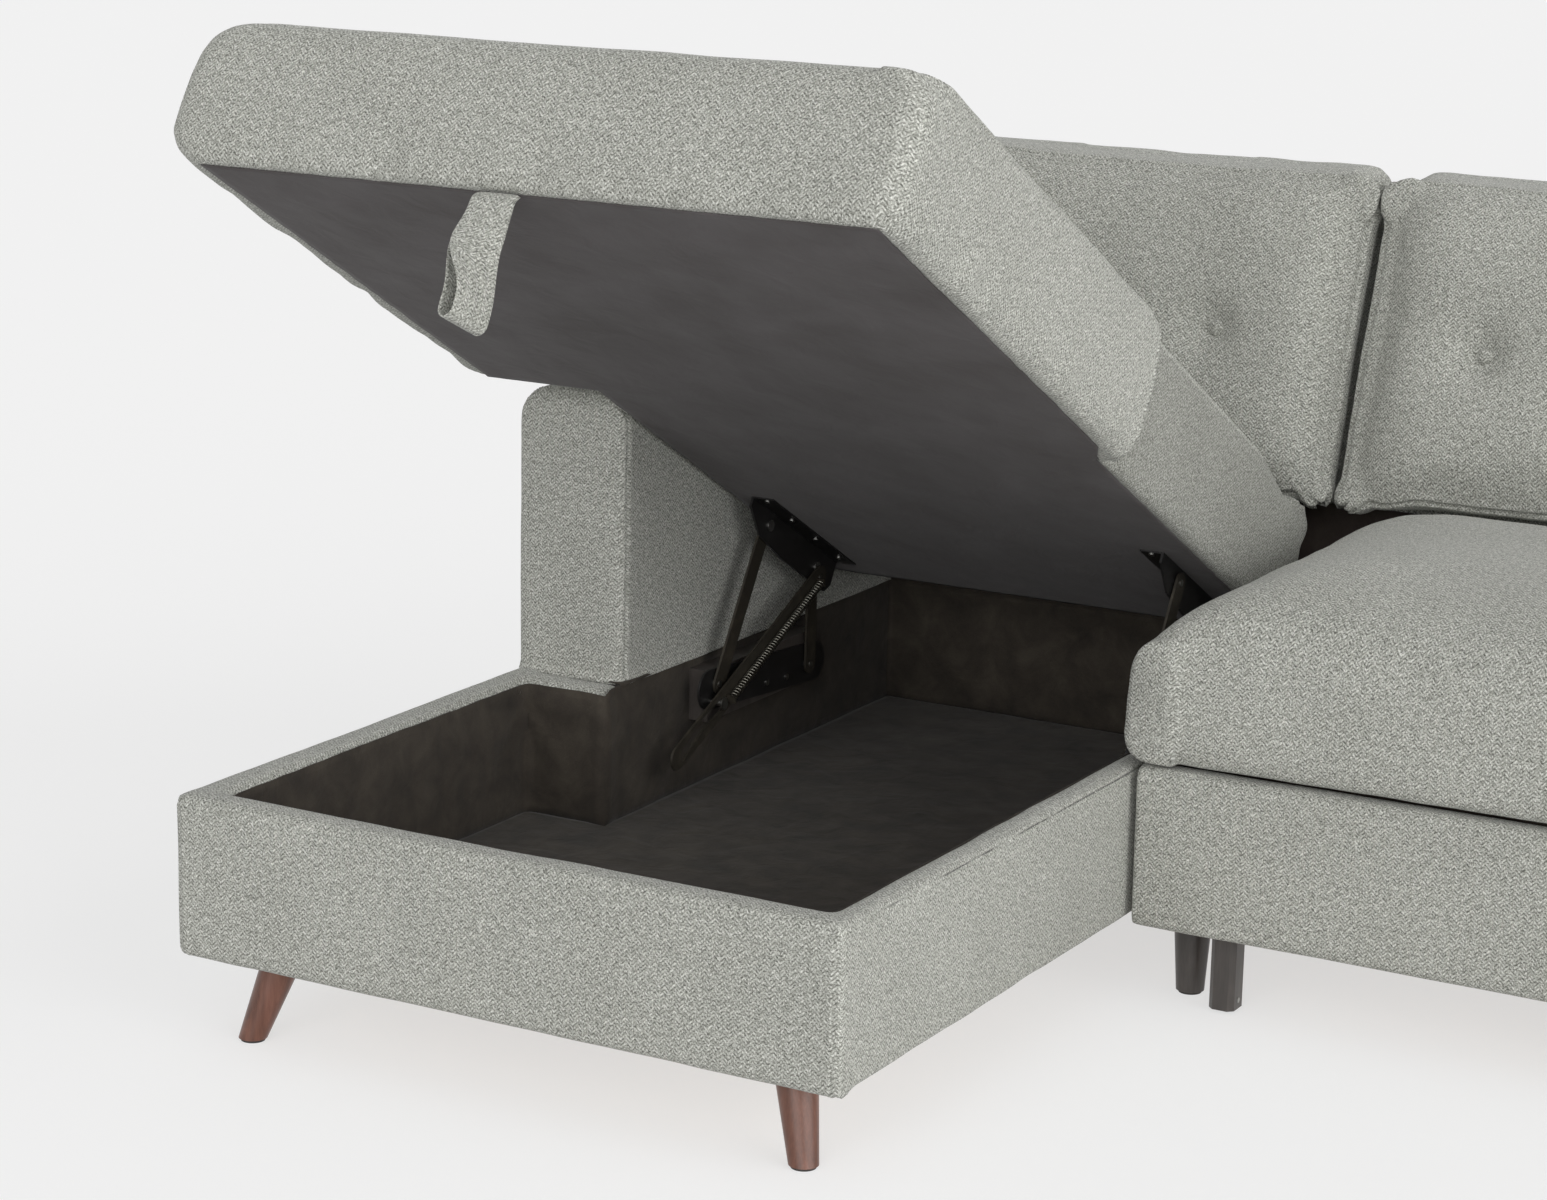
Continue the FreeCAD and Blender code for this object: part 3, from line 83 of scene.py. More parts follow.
# Sizes in metres that the dressing shares with the frame. The lid's own axes run across it, back from its
# front edge and up from its lower face. A cushion's run across, in from its front face and up from its foot.
CHAISE_WIDTH = 0.800
ARM_WIDTH = 0.150
SEAT_PITCH = 0.630
LID_LENGTH = 1.266
LID_STEP = 0.648
LID_NOTCH = 0.622
LID_NARROW_RIGHT = 0.780
LID_ANGLE = math.radians(29.2)
LID_OPEN = Vector((0.0, 0.043, 0.937))
BACK_FRONT = 1.345
CUSHION_FOOT = 0.452
CUSHION_OVER_BEND = 0.002
CUSHION_DEPTH = 0.120
CUSHION_SET_BACK = 0.007
CUSHION_LEAN = math.radians(18.0)
TUFT_HEIGHT = 0.216
TUFT_INSET = 0.160
SEAT_LEFT = 0.803
SEAT_RIGHT = 2.060


def at(x, y, z):
    """A point of the sofa as the row frame has it."""
    return ORIGIN + Vector((x, y, z))


UPRIGHT = Matrix.Translation(ORIGIN)
LID_PLACE = Matrix.Translation(ORIGIN + LID_OPEN) @ Matrix.Rotation(-LID_ANGLE, 4, "X")
CUSHION_FRONT = BACK_FRONT + CUSHION_OVER_BEND * math.tan(CUSHION_LEAN) - CUSHION_DEPTH + CUSHION_SET_BACK
CUSHION_PLACE = (Matrix.Translation(at(0.0, CUSHION_FRONT, CUSHION_FOOT))
                 @ Matrix.Rotation(-CUSHION_LEAN, 4, "X"))


# Materials

class Net:
    """A material's node tree with short calls for the nodes that it is made of."""

    def __init__(self, name):
        self.material = bpy.data.materials.new(name)
        self.material.use_nodes = True
        self.tree = self.material.node_tree
        self.tree.nodes.clear()
        self.shader = self.node("BsdfPrincipled")
        self.tree.links.new(self.shader.outputs[0], self.node("OutputMaterial").inputs[0])
        self.coordinates = self.node("TexCoord")

    def node(self, kind):
        return self.tree.nodes.new("ShaderNode" + kind)

    def feed(self, socket, value):
        if isinstance(value, bpy.types.NodeSocket):
            self.tree.links.new(value, socket)
        elif value is not None:
            socket.default_value = value

    def math(self, operation, a, b=None):
        node = self.node("Math")
        node.operation = operation
        self.feed(node.inputs[0], a)
        self.feed(node.inputs[1], b)
        return node.outputs[0]

    def weighted(self, *terms):
        """The sum of values, each times its share."""
        total = None
        for value, share in terms:
            term = self.math("MULTIPLY", value, share)
            total = term if total is None else self.math("ADD", total, term)
        return total

    def split(self, vector):
        node = self.node("SeparateXYZ")
        self.feed(node.inputs[0], vector)
        return node.outputs

    def join(self, x, y, z):
        node = self.node("CombineXYZ")
        for socket, value in zip(node.inputs, (x, y, z)):
            self.feed(socket, value)
        return node.outputs[0]

    def scaled(self, vector, scale):
        node = self.node("VectorMath")
        node.operation = "MULTIPLY"
        self.feed(node.inputs[0], vector)
        node.inputs[1].default_value = scale
        return node.outputs[0]

    def noise(self, vector, scale, detail=2.0, roughness=0.5, distortion=0.0):
        node = self.node("TexNoise")
        self.feed(node.inputs["Vector"], vector)
        settings = {"Scale": scale, "Detail": detail, "Roughness": roughness, "Distortion": distortion}
        for socket, value in settings.items():
            node.inputs[socket].default_value = value
        return node.outputs[0]

    def mix(self, share, a, b):
        node = self.node("Mix")
        node.data_type = "RGBA"
        self.feed(node.inputs[0], share)
        self.feed(node.inputs[6], colour(a))
        self.feed(node.inputs[7], colour(b))
        return node.outputs[2]

    def blend_value(self, share, a, b):
        node = self.node("Mix")
        self.feed(node.inputs[0], share)
        self.feed(node.inputs[2], a)
        self.feed(node.inputs[3], b)
        return node.outputs[0]

    def ramp(self, value, *stops):
        node = self.node("ValToRGB")
        self.feed(node.inputs[0], value)
        elements = node.color_ramp.elements
        while len(elements) < len(stops):
            elements.new(0.5)
        for element, (place, code) in zip(elements, stops):
            element.position = place
            element.color = colour(code)
        return node.outputs[0]

    def steps(self, value, low, high):
        """The value taken from low..high to 0..1."""
        node = self.node("MapRange")
        self.feed(node.inputs[0], value)
        node.inputs[1].default_value = low
        node.inputs[2].default_value = high
        return node.outputs[0]

    def bump(self, height, strength, distance, normal=None):
        node = self.node("Bump")
        node.inputs["Strength"].default_value = strength
        node.inputs["Distance"].default_value = distance
        self.feed(node.inputs["Height"], height)
        self.feed(node.inputs["Normal"], normal)
        return node.outputs[0]

    def surface(self, shade, roughness, normal=None, **constants):
        self.feed(self.shader.inputs["Base Color"], shade)
        self.feed(self.shader.inputs["Roughness"], roughness)
        self.feed(self.shader.inputs["Normal"], normal)
        for name, value in constants.items():
            self.shader.inputs[name.replace("_", " ")].default_value = value
        return self.material

    def flat_coordinates(self):
        """Across and along the face that looks most nearly one way, in metres, from the piece's own axes."""
        x, y, z = self.split(self.coordinates.outputs["Object"])
        nx, ny, nz = [self.math("ABSOLUTE", n) for n in self.split(self.coordinates.outputs["Normal"])]
        side = self.math("MULTIPLY", self.math("GREATER_THAN", nx, ny), self.math("GREATER_THAN", nx, nz))
        top = self.math("MULTIPLY", self.math("GREATER_THAN", nz, nx), self.math("GREATER_THAN", nz, ny))
        return self.blend_value(side, x, y), self.blend_value(top, z, y)


def colour(code):
    """The linear colour of a written code such as A3A69D."""
    values = []
    for index in range(0, 6, 2):
        value = int(code[index:index + 2], 16) / 255.0
        values.append(value / 12.92 if value <= 0.04045 else ((value + 0.055) / 1.055) ** 2.4)
    return (*values, 1.0)


# The weave's sizes in metres, and how many times a metre its threads vary along and across themselves.
YARN = 0.00112
COLUMN = 0.0056
ALONG_THREAD, ACROSS_THREAD = 265.0, 640.0


def upholstery(name, dark, middle, light):
    """A heathered herringbone: two tones of yarn that cross at a slant and change side by side."""
    net = Net(name)
    across, along = net.flat_coordinates()
    s = net.math("DIVIDE", net.math("PINGPONG", across, COLUMN), YARN)
    t = net.math("DIVIDE", along, YARN)
    slant = net.math("SINE", net.math("MULTIPLY", net.math("ADD", s, t), 0.5 * math.pi))
    cross = net.math("SINE", net.math("MULTIPLY", t, math.pi))
    up = net.math("SINE", net.math("MULTIPLY", net.math("DIVIDE", across, YARN), math.pi))
    weave = net.weighted((slant, 0.75), (net.math("MULTIPLY", cross, up), 0.25))
    flat = net.join(across, along, 0.0)
    weft = net.noise(net.scaled(flat, (ALONG_THREAD, ACROSS_THREAD, 1.0)), 1.0, 2.0, 0.6)
    warp = net.noise(net.scaled(flat, (ACROSS_THREAD, ALONG_THREAD, 1.0)), 1.0, 2.0, 0.6)
    heather = net.blend_value(net.steps(weave, -0.5, 0.5), weft, warp)
    cloud = net.noise(flat, 130.0, 3.0, 0.65)
    wide = net.noise(flat, 9.0, 2.0, 0.5)
    tone = net.weighted((net.steps(heather, 0.365, 0.635), 0.53), (net.steps(cloud, 0.3, 0.7), 0.18),
                        (net.steps(weave, -0.8, 0.8), 0.26), (net.steps(wide, 0.35, 0.65), 0.03))
    shade = net.ramp(tone, (0.12, dark), (0.5, middle), (0.88, light))
    rough = net.noise(net.coordinates.outputs["Object"], 38.0, 3.0, 0.55)
    height = net.math("ADD", weave, net.math("MULTIPLY", heather, 1.6))
    normal = net.bump(height, 0.55, 0.00045, net.bump(rough, 0.25, 0.0022))
    return net.surface(shade, 0.93, normal, Sheen_Weight=0.22, Sheen_Roughness=0.45,
                       Specular_IOR_Level=0.18)


def nonwoven(name, base, dark, light, mottle, bump):
    """A thin pressed cloth: fibres, faint creases and a cloudy tone."""
    net = Net(name)
    place = net.coordinates.outputs["Object"]
    fibres = net.noise(place, 900.0, 3.0, 0.7, 0.6)
    clouds = net.noise(place, mottle, 4.0, 0.6, 0.4)
    creases = net.noise(place, 24.0, 4.0, 0.55, 0.8)
    tone = net.weighted((fibres, 0.35), (clouds, 0.65))
    shade = net.ramp(tone, (0.32, dark), (0.5, base), (0.70, light))
    normal = net.bump(creases, 0.35, 0.004 * bump)
    normal = net.bump(fibres, 0.35, 0.0003, normal)
    return net.surface(shade, 0.82, normal, Sheen_Weight=0.1, Specular_IOR_Level=0.3)


def wood(name, dark, base, light, roughness, grain=(70.0, 70.0, 6.0)):
    """Grain that runs along the third axis, with pores and a satin finish."""
    net = Net(name)
    place = net.coordinates.outputs["Object"]
    drawn = net.scaled(place, grain)
    rings = net.noise(drawn, 1.0, 5.0, 0.6, 0.7)
    pores = net.noise(net.scaled(place, tuple(value * 9.0 for value in grain)), 1.0, 2.0, 0.6)
    blotch = net.noise(place, 14.0, 2.0, 0.5)
    tone = net.weighted((rings, 0.6), (pores, 0.2), (blotch, 0.2))
    shade = net.ramp(tone, (0.33, dark), (0.5, base), (0.68, light))
    gloss = net.math("ADD", net.math("MULTIPLY", pores, 0.12), roughness - 0.06)
    normal = net.bump(net.math("ADD", pores, rings), 0.15, 0.0004)
    return net.surface(shade, gloss, normal, Specular_IOR_Level=0.5, Coat_Weight=0.15, Coat_Roughness=0.35)


def metal(name, base, light, roughness, metallic):
    """Painted or plated metal with fine speckle, rubbed lighter in patches."""
    net = Net(name)
    place = net.coordinates.outputs["Object"]
    fine = net.noise(place, 700.0, 3.0, 0.6)
    rubbed = net.noise(place, 45.0, 4.0, 0.65)
    shade = net.mix(net.steps(rubbed, 0.5, 0.8), base, light)
    gloss = net.math("ADD", net.math("MULTIPLY", rubbed, 0.25), roughness - 0.12)
    return net.surface(shade, gloss, net.bump(fine, 0.12, 0.0003), Metallic=metallic)


def moulded(name, base, light, roughness):
    """Moulded plastic with a fine eggshell skin and dusty patches."""
    net = Net(name)
    place = net.coordinates.outputs["Object"]
    fine = net.noise(place, 1400.0, 2.0, 0.5)
    dusty = net.noise(place, 60.0, 3.0, 0.6)
    shade = net.mix(net.steps(dusty, 0.45, 0.75), base, light)
    return net.surface(shade, net.math("ADD", net.math("MULTIPLY", dusty, 0.2), roughness - 0.1),
                       net.bump(fine, 0.15, 0.0002))


FABRIC = upholstery("fabric_grey", "5C5C56", "A6A79F", "E6E6E0")
# Painted shade: a darker copy of the upholstery, for the lid's narrow side below the seam.
FABRIC_PAINTED_SHADE = upholstery("fabric_grey_painted_shade", "4E4E48", "92938B", "CECEC8")
DUST = nonwoven("dust_cover", "524E4E", "45403F", "5E5A5B", 9.0, 1.3)
LINING = nonwoven("box_lining", "39332C", "26221D", "4A443B", 22.0, 1.4)
BLACK_WOOD = wood("black_wood", "332F2C", "45403D", "55504C", 0.42)
# Dark cloth for the gaps. On the seat deck it is painted shade, for the dark line between the seat and the
# pull-out front.
GAP_CLOTH_AND_SHADE = nonwoven("gap_cloth_and_shade", "3E3631", "2E2824", "4C443E", 20.0, 1.0)

# The finish of each of the frame's slots
FINISHES = {
    "upholstery": FABRIC,
    "lining": LINING,
    "dust_cover": DUST,
    "black_wood": BLACK_WOOD,
    "timber": wood("timber", "A9855A", "C7A678", "DCC096", 0.62, (18.0, 4.0, 60.0)),
    "walnut": wood("walnut", "4A2A1D", "6B4333", "85594A", 0.36),
    "black_steel": metal("black_steel", "1B1A1A", "2C2B2A", 0.42, 0.0),
    "link_steel": metal("link_steel", "3B3730", "565044", 0.45, 0.35),
    "spring_steel": metal("spring_steel", "8E8B82", "B5B2A8", 0.34, 1.0),
    "zinc": metal("zinc", "A8A8A4", "C8C8C4", 0.32, 1.0),
    "glide_plastic": moulded("glide_plastic", "26221F", "35302C", 0.5),
    "roller_plastic": moulded("roller_plastic", "2B2A29", "403E3C", 0.45),
}


def wear(material, *objects):
    for found in objects:
        found.data.materials.clear()
        found.data.materials.append(material)


# The frame's own pieces keep their shape and get the finish of their slot.
for entry in frame["record"]["subparts"]:
    wear(FINISHES[entry["material_slot"]], NODES[entry["node"]])


# Soft pieces

def shells(bm):
    """The connected groups of points of a mesh."""
    seen = set()
    groups = []
    for start in bm.verts:
        if start.index in seen:
            continue
        group = [start]
        seen.add(start.index)
        for vertex in group:
            for edge in vertex.link_edges:
                other = edge.other_vert(vertex)
                if other.index not in seen:
                    seen.add(other.index)
                    group.append(other)
        groups.append(group)
    return groups


def extent(vertices):
    points = np.array([tuple(vertex.co) for vertex in vertices])
    return points.min(0), points.max(0)


def outer_shells(node_names, place):
    """The frame's solids as one mesh in the piece's own axes, without the pockets inside them."""
    whole = bmesh.new()
    for name in node_names:
        part = bmesh.new()
        part.from_mesh(NODES[name].data)
        bmesh.ops.remove_doubles(part, verts=part.verts, dist=0.00002)
        part.verts.index_update()
        groups = shells(part)
        boxes = [extent(group) for group in groups]
        inner = []
        for group, (low, high) in zip(groups, boxes):
            if any((a < low - 0.001).all() and (b > high + 0.001).all() for a, b in boxes):
                inner += group
        bmesh.ops.delete(part, geom=inner, context="VERTS")
        mesh = bpy.data.meshes.new("part")
        part.to_mesh(mesh)
        part.free()
        whole.from_mesh(mesh)
        bpy.data.meshes.remove(mesh)
    whole.transform(place.inverted())
    mesh = bpy.data.meshes.new("solid")
    whole.to_mesh(mesh)
    whole.free()
    return mesh


def smoothed(piece):
    piece.data.polygons.foreach_set("use_smooth", np.ones(len(piece.data.polygons), bool))
    piece.data.update()


def placed(name, data):
    """A new object of the scene."""
    piece = bpy.data.objects.new(name, data)
    bpy.context.scene.collection.objects.link(piece)
    return piece


def applied(piece):
    """The piece with its modifiers made real."""
    depsgraph = bpy.context.evaluated_depsgraph_get()
    mesh = bpy.data.meshes.new_from_object(piece.evaluated_get(depsgraph))
    piece.modifiers.clear()
    piece.data = mesh
    return piece


def modified(piece, kind, **settings):
    """The piece with one modifier of this kind made real."""
    modifier = piece.modifiers.new(kind.lower(), kind)
    for name, value in settings.items():
        setattr(modifier, name, value)
    return applied(piece)


def soft_piece(name, node_names, place, voxel, smooth):
    """A cloth-covered piece that starts from the frame's solids, in small even faces, in its own axes."""
    piece = placed(name, outer_shells(node_names, place))
    modified(piece, "REMESH", mode="VOXEL", voxel_size=voxel)
    modified(piece, "SMOOTH", factor=0.5, iterations=smooth)
    piece.matrix_world = place
    smoothed(piece)
    return piece


def points_of(piece):
    co = np.zeros(len(piece.data.vertices) * 3, np.float64)
    piece.data.vertices.foreach_get("co", co)
    return co.reshape(-1, 3)


def normals_of(piece):
    values = np.zeros(len(piece.data.vertices) * 3, np.float32)
    piece.data.vertex_normals.foreach_get("vector", values)
    return values.reshape(-1, 3).astype(np.float64)


def put_points(piece, points):
    piece.data.vertices.foreach_set("co", points.astype(np.float32).ravel())
    piece.data.update()


def swell(piece, amount):
    """Move the points along their normals by amount, one number for each point."""
    put_points(piece, points_of(piece) + normals_of(piece) * amount[:, None])


def ripple(points, size, seed=0.0):
    """Smooth noise from about -1 to 1 with waves about size metres long; size may differ per axis."""
    scale = np.array(size if hasattr(size, "__len__") else (size,) * 3)
    place = points / scale + np.array((1.0, 0.7, 1.3)) * seed
    cell = np.floor(place).astype(np.int64)
    share = place - cell
    ease = share ** 3 * (share * (share * 6.0 - 15.0) + 10.0)
    total = np.zeros(len(points))
    for corner in np.ndindex(2, 2, 2):
        spot = cell + corner
        code = (spot[:, 0] * 73856093) ^ (spot[:, 1] * 19349663) ^ (spot[:, 2] * 83492791)
        code = ((code ^ (code >> 13)) * 1274126177) & 0x7FFFFFFF
        slope = np.column_stack([(code >> shift) & 1023 for shift in (1, 11, 21)]) / 511.5 - 1.0
        weight = np.where(corner, ease, 1.0 - ease).prod(1)
        total += weight * (slope * (share - corner)).sum(1)
    return np.clip(1.6 * total, -1.0, 1.0)


def crumple(piece, *waves):
    """Make the surface uneven with waves, by their heights, sizes and seeds."""
    points = points_of(piece)
    swell(piece, sum(height * ripple(points, size, seed) for height, size, seed in waves))


def bell(distance, width):
    return np.exp(-(distance / width) ** 2)


def cut_along(piece, field, levels, where=None):
    """Add edges where the field, a number at each point, passes each level, for a seam to be drawn there."""
    points = points_of(piece)
    values = field(points)
    allowed = where(points) if where is not None else np.ones(len(points), bool)
    bm = bmesh.new()
    bm.from_mesh(piece.data)
    bm.verts.ensure_lookup_table()
    bm.edges.ensure_lookup_table()
    flat = np.zeros(len(piece.data.edges) * 2, np.int32)
    piece.data.edges.foreach_get("vertices", flat)
    ends = flat.reshape(-1, 2)
    a, b = values[ends[:, 0]], values[ends[:, 1]]
    crossing = np.zeros(len(ends), bool)
    for level in levels:
        crossing |= (a - level) * (b - level) < 0
    crossing &= allowed[ends[:, 0]] & allowed[ends[:, 1]]
    found = [(bm.edges[int(k)], bm.verts[int(ends[k, 0])], bm.verts[int(ends[k, 1])], a[k], b[k])
             for k in np.nonzero(crossing)[0]]
    at_level = {}
    touched = set()
    for edge, first, last, low, high in found:
        touched.update(edge.link_faces)
        here, value = first, low
        passed = [level for level in levels if (low - level) * (high - level) < 0]
        for level in sorted(passed, reverse=bool(low > high)):
            share = min(max((level - value) / (high - value), 0.02), 0.98)
            _, fresh = bmesh.utils.edge_split(edge, here, share)
            at_level[fresh] = level
            edge = next(link for link in fresh.link_edges if link.other_vert(fresh) is last)
            here, value = fresh, level
    for face in touched:
        for level in levels:
            pair = [vertex for vertex in face.verts if at_level.get(vertex) == level]
            if len(pair) != 2:
                continue
            shared = [other for other in pair[0].link_faces if other in pair[1].link_faces]
            if shared and not any(link.other_vert(pair[0]) is pair[1] for link in pair[0].link_edges):
                try:
                    _, _ = bmesh.utils.face_split(shared[0], pair[0], pair[1])
                except ValueError:
                    pass
    bm.to_mesh(piece.data)
    bm.free()
    smoothed(piece)


def seam(piece, field, depth=0.0016, width=0.0022, where=None, ridge=0.0007):
    """A sewn line where the field is 0: a narrow groove with a low roll of cloth on both sides."""
    cut_along(piece, field, (-2.4 * width, -width, 0.0, width, 2.4 * width), where)
    points = points_of(piece)
    distance = field(points)
    amount = -depth * bell(distance, 0.8 * width) + ridge * bell(np.abs(distance) - 2.1 * width, width)
    if where is not None:
        amount = amount * where(points)
    swell(piece, amount)


def finish_soft(piece, body, *nodes, fill):
    """Dress a padded piece in the upholstery, tie it to its body and hide the nodes it stands for."""
    wear(FABRIC, piece)
    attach(piece, body)
    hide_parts(*nodes)


VOXEL = 0.006
STUFFED_VOXEL = 0.010
CLOTH_STEP = 0.008


def inflate(piece, cap, keep, pressure=4.0, frames=20):
    """Stuff a closed piece in a short cloth simulation. No point moves further than cap times its share."""
    before = points_of(piece)
    cloth = piece.modifiers.new("cloth", "CLOTH")
    cloth.settings.quality = 4
    cloth.settings.use_pressure = True
    cloth.settings.uniform_pressure_force = pressure
    cloth.settings.effector_weights.gravity = 0.0
    cloth.collision_settings.use_collision = False
    cloth.collision_settings.use_self_collision = False
    cloth.point_cache.frame_start = 1
    cloth.point_cache.frame_end = frames
    for step in range(1, frames + 1):
        bpy.context.scene.frame_set(step)
    applied(piece)
    bpy.context.scene.frame_set(1)
    move = points_of(piece) - before
    length = np.maximum(np.linalg.norm(move, axis=1), 1e-9)
    share = cap * np.tanh(length / cap) / length * keep(before)
    put_points(piece, before + move * share[:, None])
    modified(piece, "SUBSURF", levels=1, render_levels=1)


FREE = np.inf


def hold_within(piece, low, high):
    """Press the piece flat where it would pass its neighbours; FREE leaves a side as it is."""
    put_points(piece, np.clip(points_of(piece), low, high))


def rise(value, low, high):
    """0 below low, 1 above high, smooth between."""
    share = np.clip((value - low) / (high - low), 0.0, 1.0)
    return share * share * (3.0 - 2.0 * share)


def made(name, vertices, faces, place):
    """A new piece from its points and faces, in the axes of place."""
    mesh = bpy.data.meshes.new(name)
    mesh.from_pydata([tuple(float(value) for value in vertex) for vertex in vertices], [], faces)
    mesh.update()
    piece = placed(name, mesh)
    piece.matrix_world = place
    smoothed(piece)
    return piece


def thickened(piece, thickness):
    """Give a single layer of cloth its thickness, half to each side."""
    return modified(piece, "SOLIDIFY", thickness=thickness, offset=0.0)


def lines(*stops):
    """Evenly spaced values between the stops, which are all among them."""
    values = []
    for start, end in zip(stops, stops[1:]):
        count = max(1, round((end - start) / CLOTH_STEP))
        values += list(np.linspace(start, end, count, endpoint=False))
    return values + [stops[-1]]


def stepped_sheet(xs, ys, inside):
    """Points and faces of a flat grid where inside says so, and each point's way out at the sheet's edge."""
    numbers = {}
    faces = []
    outward = {}
    for j in range(len(ys) - 1):
        for i in range(len(xs) - 1):
            middle = (0.5 * (xs[i] + xs[i + 1]), 0.5 * (ys[j] + ys[j + 1]))
            if not inside(*middle):
                continue
            corners = [(i, j), (i + 1, j), (i + 1, j + 1), (i, j + 1)]
            for corner in corners:
                numbers.setdefault(corner, len(numbers))
                away = outward.setdefault(corner, [0.0, 0.0, 0])
                away[0] += math.copysign(1.0, xs[corner[0]] - middle[0])
                away[1] += math.copysign(1.0, ys[corner[1]] - middle[1])
                away[2] += 1
            faces.append([numbers[corner] for corner in corners])
    points = np.array([(xs[i], ys[j], 0.0) for i, j in numbers])
    out = np.array([(outward[key][0], outward[key][1], 0.0) for key in numbers])
    length = np.maximum(np.linalg.norm(out, axis=1), 1e-9)
    edge = np.array([outward[key][2] < 4 for key in numbers])
    return points, faces, np.where(edge[:, None], out / length[:, None], 0.0)


CORNER_CORE = 0.55
CORNER_GROWTH = 1.5


def squared(points, axes, centre, size, power, weight, soft=0.0):
    """Fill a rounded corner out towards a squarer one, in the plane of two axes.

    Size is the corner's reach from its centre, signed by direction, and a higher power is squarer. Weight is
    each point's share of the move, and soft fades it in over that share of the reach. The core stays.
    """
    away = points[:, axes] - np.array(centre)
    share = np.maximum(away / np.array(size), 0.0)
    reach = (share ** power).sum(axis=1) ** (1.0 / power)
    inside = (share > 0.0).all(axis=1) & (reach > CORNER_CORE)
    grow = np.where(inside, 1.0 / np.maximum(reach, CORNER_CORE), 1.0)
    if soft:
        weight = weight * rise(share.min(axis=1), 0.0, soft)
    points[:, axes] += away * ((np.clip(grow, 1.0, CORNER_GROWTH) - 1.0) * weight)[:, None]


# The chaise's box: one cloth drawn over its walls, sewn at its corners and under its rim.
BOX_WALLS = ("chaise_front_cover", "chaise_left_cover", "chaise_right_cover", "chaise_return_cover")
BOX_SEAM_LEFT, BOX_SEAM_RIGHT, BOX_SEAM_TOP = 0.007, 0.793, 0.2665
BOX_FRONT_DEPTH, BOX_FRONT_HEIGHT = 0.02, 0.268
BOX_OUTSIDE, BOX_OUTSIDE_RIGHT = 0.012, 0.790
box_cover = soft_piece("chaise_box_cover", BOX_WALLS, UPRIGHT, VOXEL, 3)
crumple(box_cover, (0.0008, 0.06, 0.0), (0.0010, 0.25, 3.0))
for seam_x in (BOX_SEAM_RIGHT, BOX_SEAM_LEFT):
    seam(box_cover, lambda p: p[:, 0] - seam_x, 0.0016, 0.0018,
         lambda p: (p[:, 1] < BOX_FRONT_DEPTH) & (p[:, 2] < BOX_FRONT_HEIGHT))
seam(box_cover, lambda p: p[:, 2] - BOX_SEAM_TOP, 0.0010, 0.0018,
     lambda p: (p[:, 1] < BOX_OUTSIDE) | (p[:, 0] < BOX_OUTSIDE) | (p[:, 0] > BOX_OUTSIDE_RIGHT))
finish_soft(box_cover, "frame", *BOX_WALLS, fill=0.9)


# Arms and backrest. The arms' feet are squarer than the frame's, and one that starts over the box sits lower.
ARM_FACE = 0.652
ARM_SEAM = 0.011
FOOT_ROUND = 0.011
FOOT_FILL = 0.85
FOOT_DROP = 0.0040
OVER_BOX = 0.2
BACK_SEAM_HEIGHT, BACK_SEAM_DEPTH = 0.783, 1.50
for side in ("left", "right"):
    arm = soft_piece(side + "_arm", [side + "_arm_cover"], UPRIGHT, VOXEL, 4)
    points = points_of(arm)
    low, high = points.min(axis=0), points.max(axis=0)
    drop = np.clip(low[2] + FOOT_ROUND - points[:, 2], 0.0, FOOT_ROUND)
    lost = FOOT_ROUND - np.sqrt(FOOT_ROUND ** 2 - drop ** 2)
    for axis in (0, 1):
        from_middle = (2.0 * points[:, axis] - low[axis] - high[axis]) / (high[axis] - low[axis])
        points[:, axis] += FOOT_FILL * lost * np.sign(from_middle) * np.abs(from_middle) ** 5
    points[:, 2] -= FOOT_DROP * (1.0 - rise(points[:, 2], low[2], low[2] + 0.020)) * (low[2] > OVER_BOX)
    put_points(arm, points)
    crumple(arm, (0.0012, 0.14, 5.0), (0.0006, 0.05, 9.0))
    seam(arm, lambda p: p[:, 1] - ARM_FACE - ARM_SEAM, 0.0016, 0.0016, lambda p: p[:, 2] > 0.1, 0.0011)
    finish_soft(arm, "frame", side + "_arm_cover", fill=0.85)

backrest = soft_piece("backrest", ["back_cover"], UPRIGHT, VOXEL, 3)
crumple(backrest, (0.0012, 0.16, 7.0))
seam(backrest, lambda p: p[:, 2] - BACK_SEAM_HEIGHT, 0.0014, 0.0018, lambda p: p[:, 1] > BACK_SEAM_DEPTH)
finish_soft(backrest, "frame", "back_cover", fill=0.85)

# Back cushions: stuffed, sewn round the front panel and tufted. The left one's second tuft sits further in.
CUSHION_SEAM = 0.016
CUSHION_EDGES = (ARM_WIDTH, CHAISE_WIDTH, CHAISE_WIDTH + SEAT_PITCH, CHAISE_WIDTH + 2 * SEAT_PITCH)
TUFT_SHIFTS = (0.028, 0.0, 0.0)
cushions = [
    (side, low_x, high_x, (low_x + TUFT_INSET, high_x - TUFT_INSET - shift))
    for side, low_x, high_x, shift in zip(
        ("left", "middle", "right"), CUSHION_EDGES, CUSHION_EDGES[1:], TUFT_SHIFTS)
]


def from_tufts(points, tufts):
    """Each point's distance from the nearest tuft, and the angle round it."""
    across = np.array([points[:, 0] - x for x in tufts])
    nearest = np.abs(across).argmin(0)
    side = across[nearest, np.arange(len(points))]
    up = points[:, 2] - TUFT_HEIGHT
    return np.hypot(side, up), np.arctan2(up, side)


# A tuft's pit with its raised collar, and the creases round it: each one's turn in radians and its length.
PIT, PIT_WIDTH = 0.0062, 0.015
COLLAR, COLLAR_WIDTH = 0.0050, 0.038
CREASE, CREASE_WIDTH = 0.0019, 0.0038
TUFT_CREASES = ((0.15, 0.050), (1.75, 0.042), (3.05, 0.030), (4.3, 0.046), (5.4, 0.034))


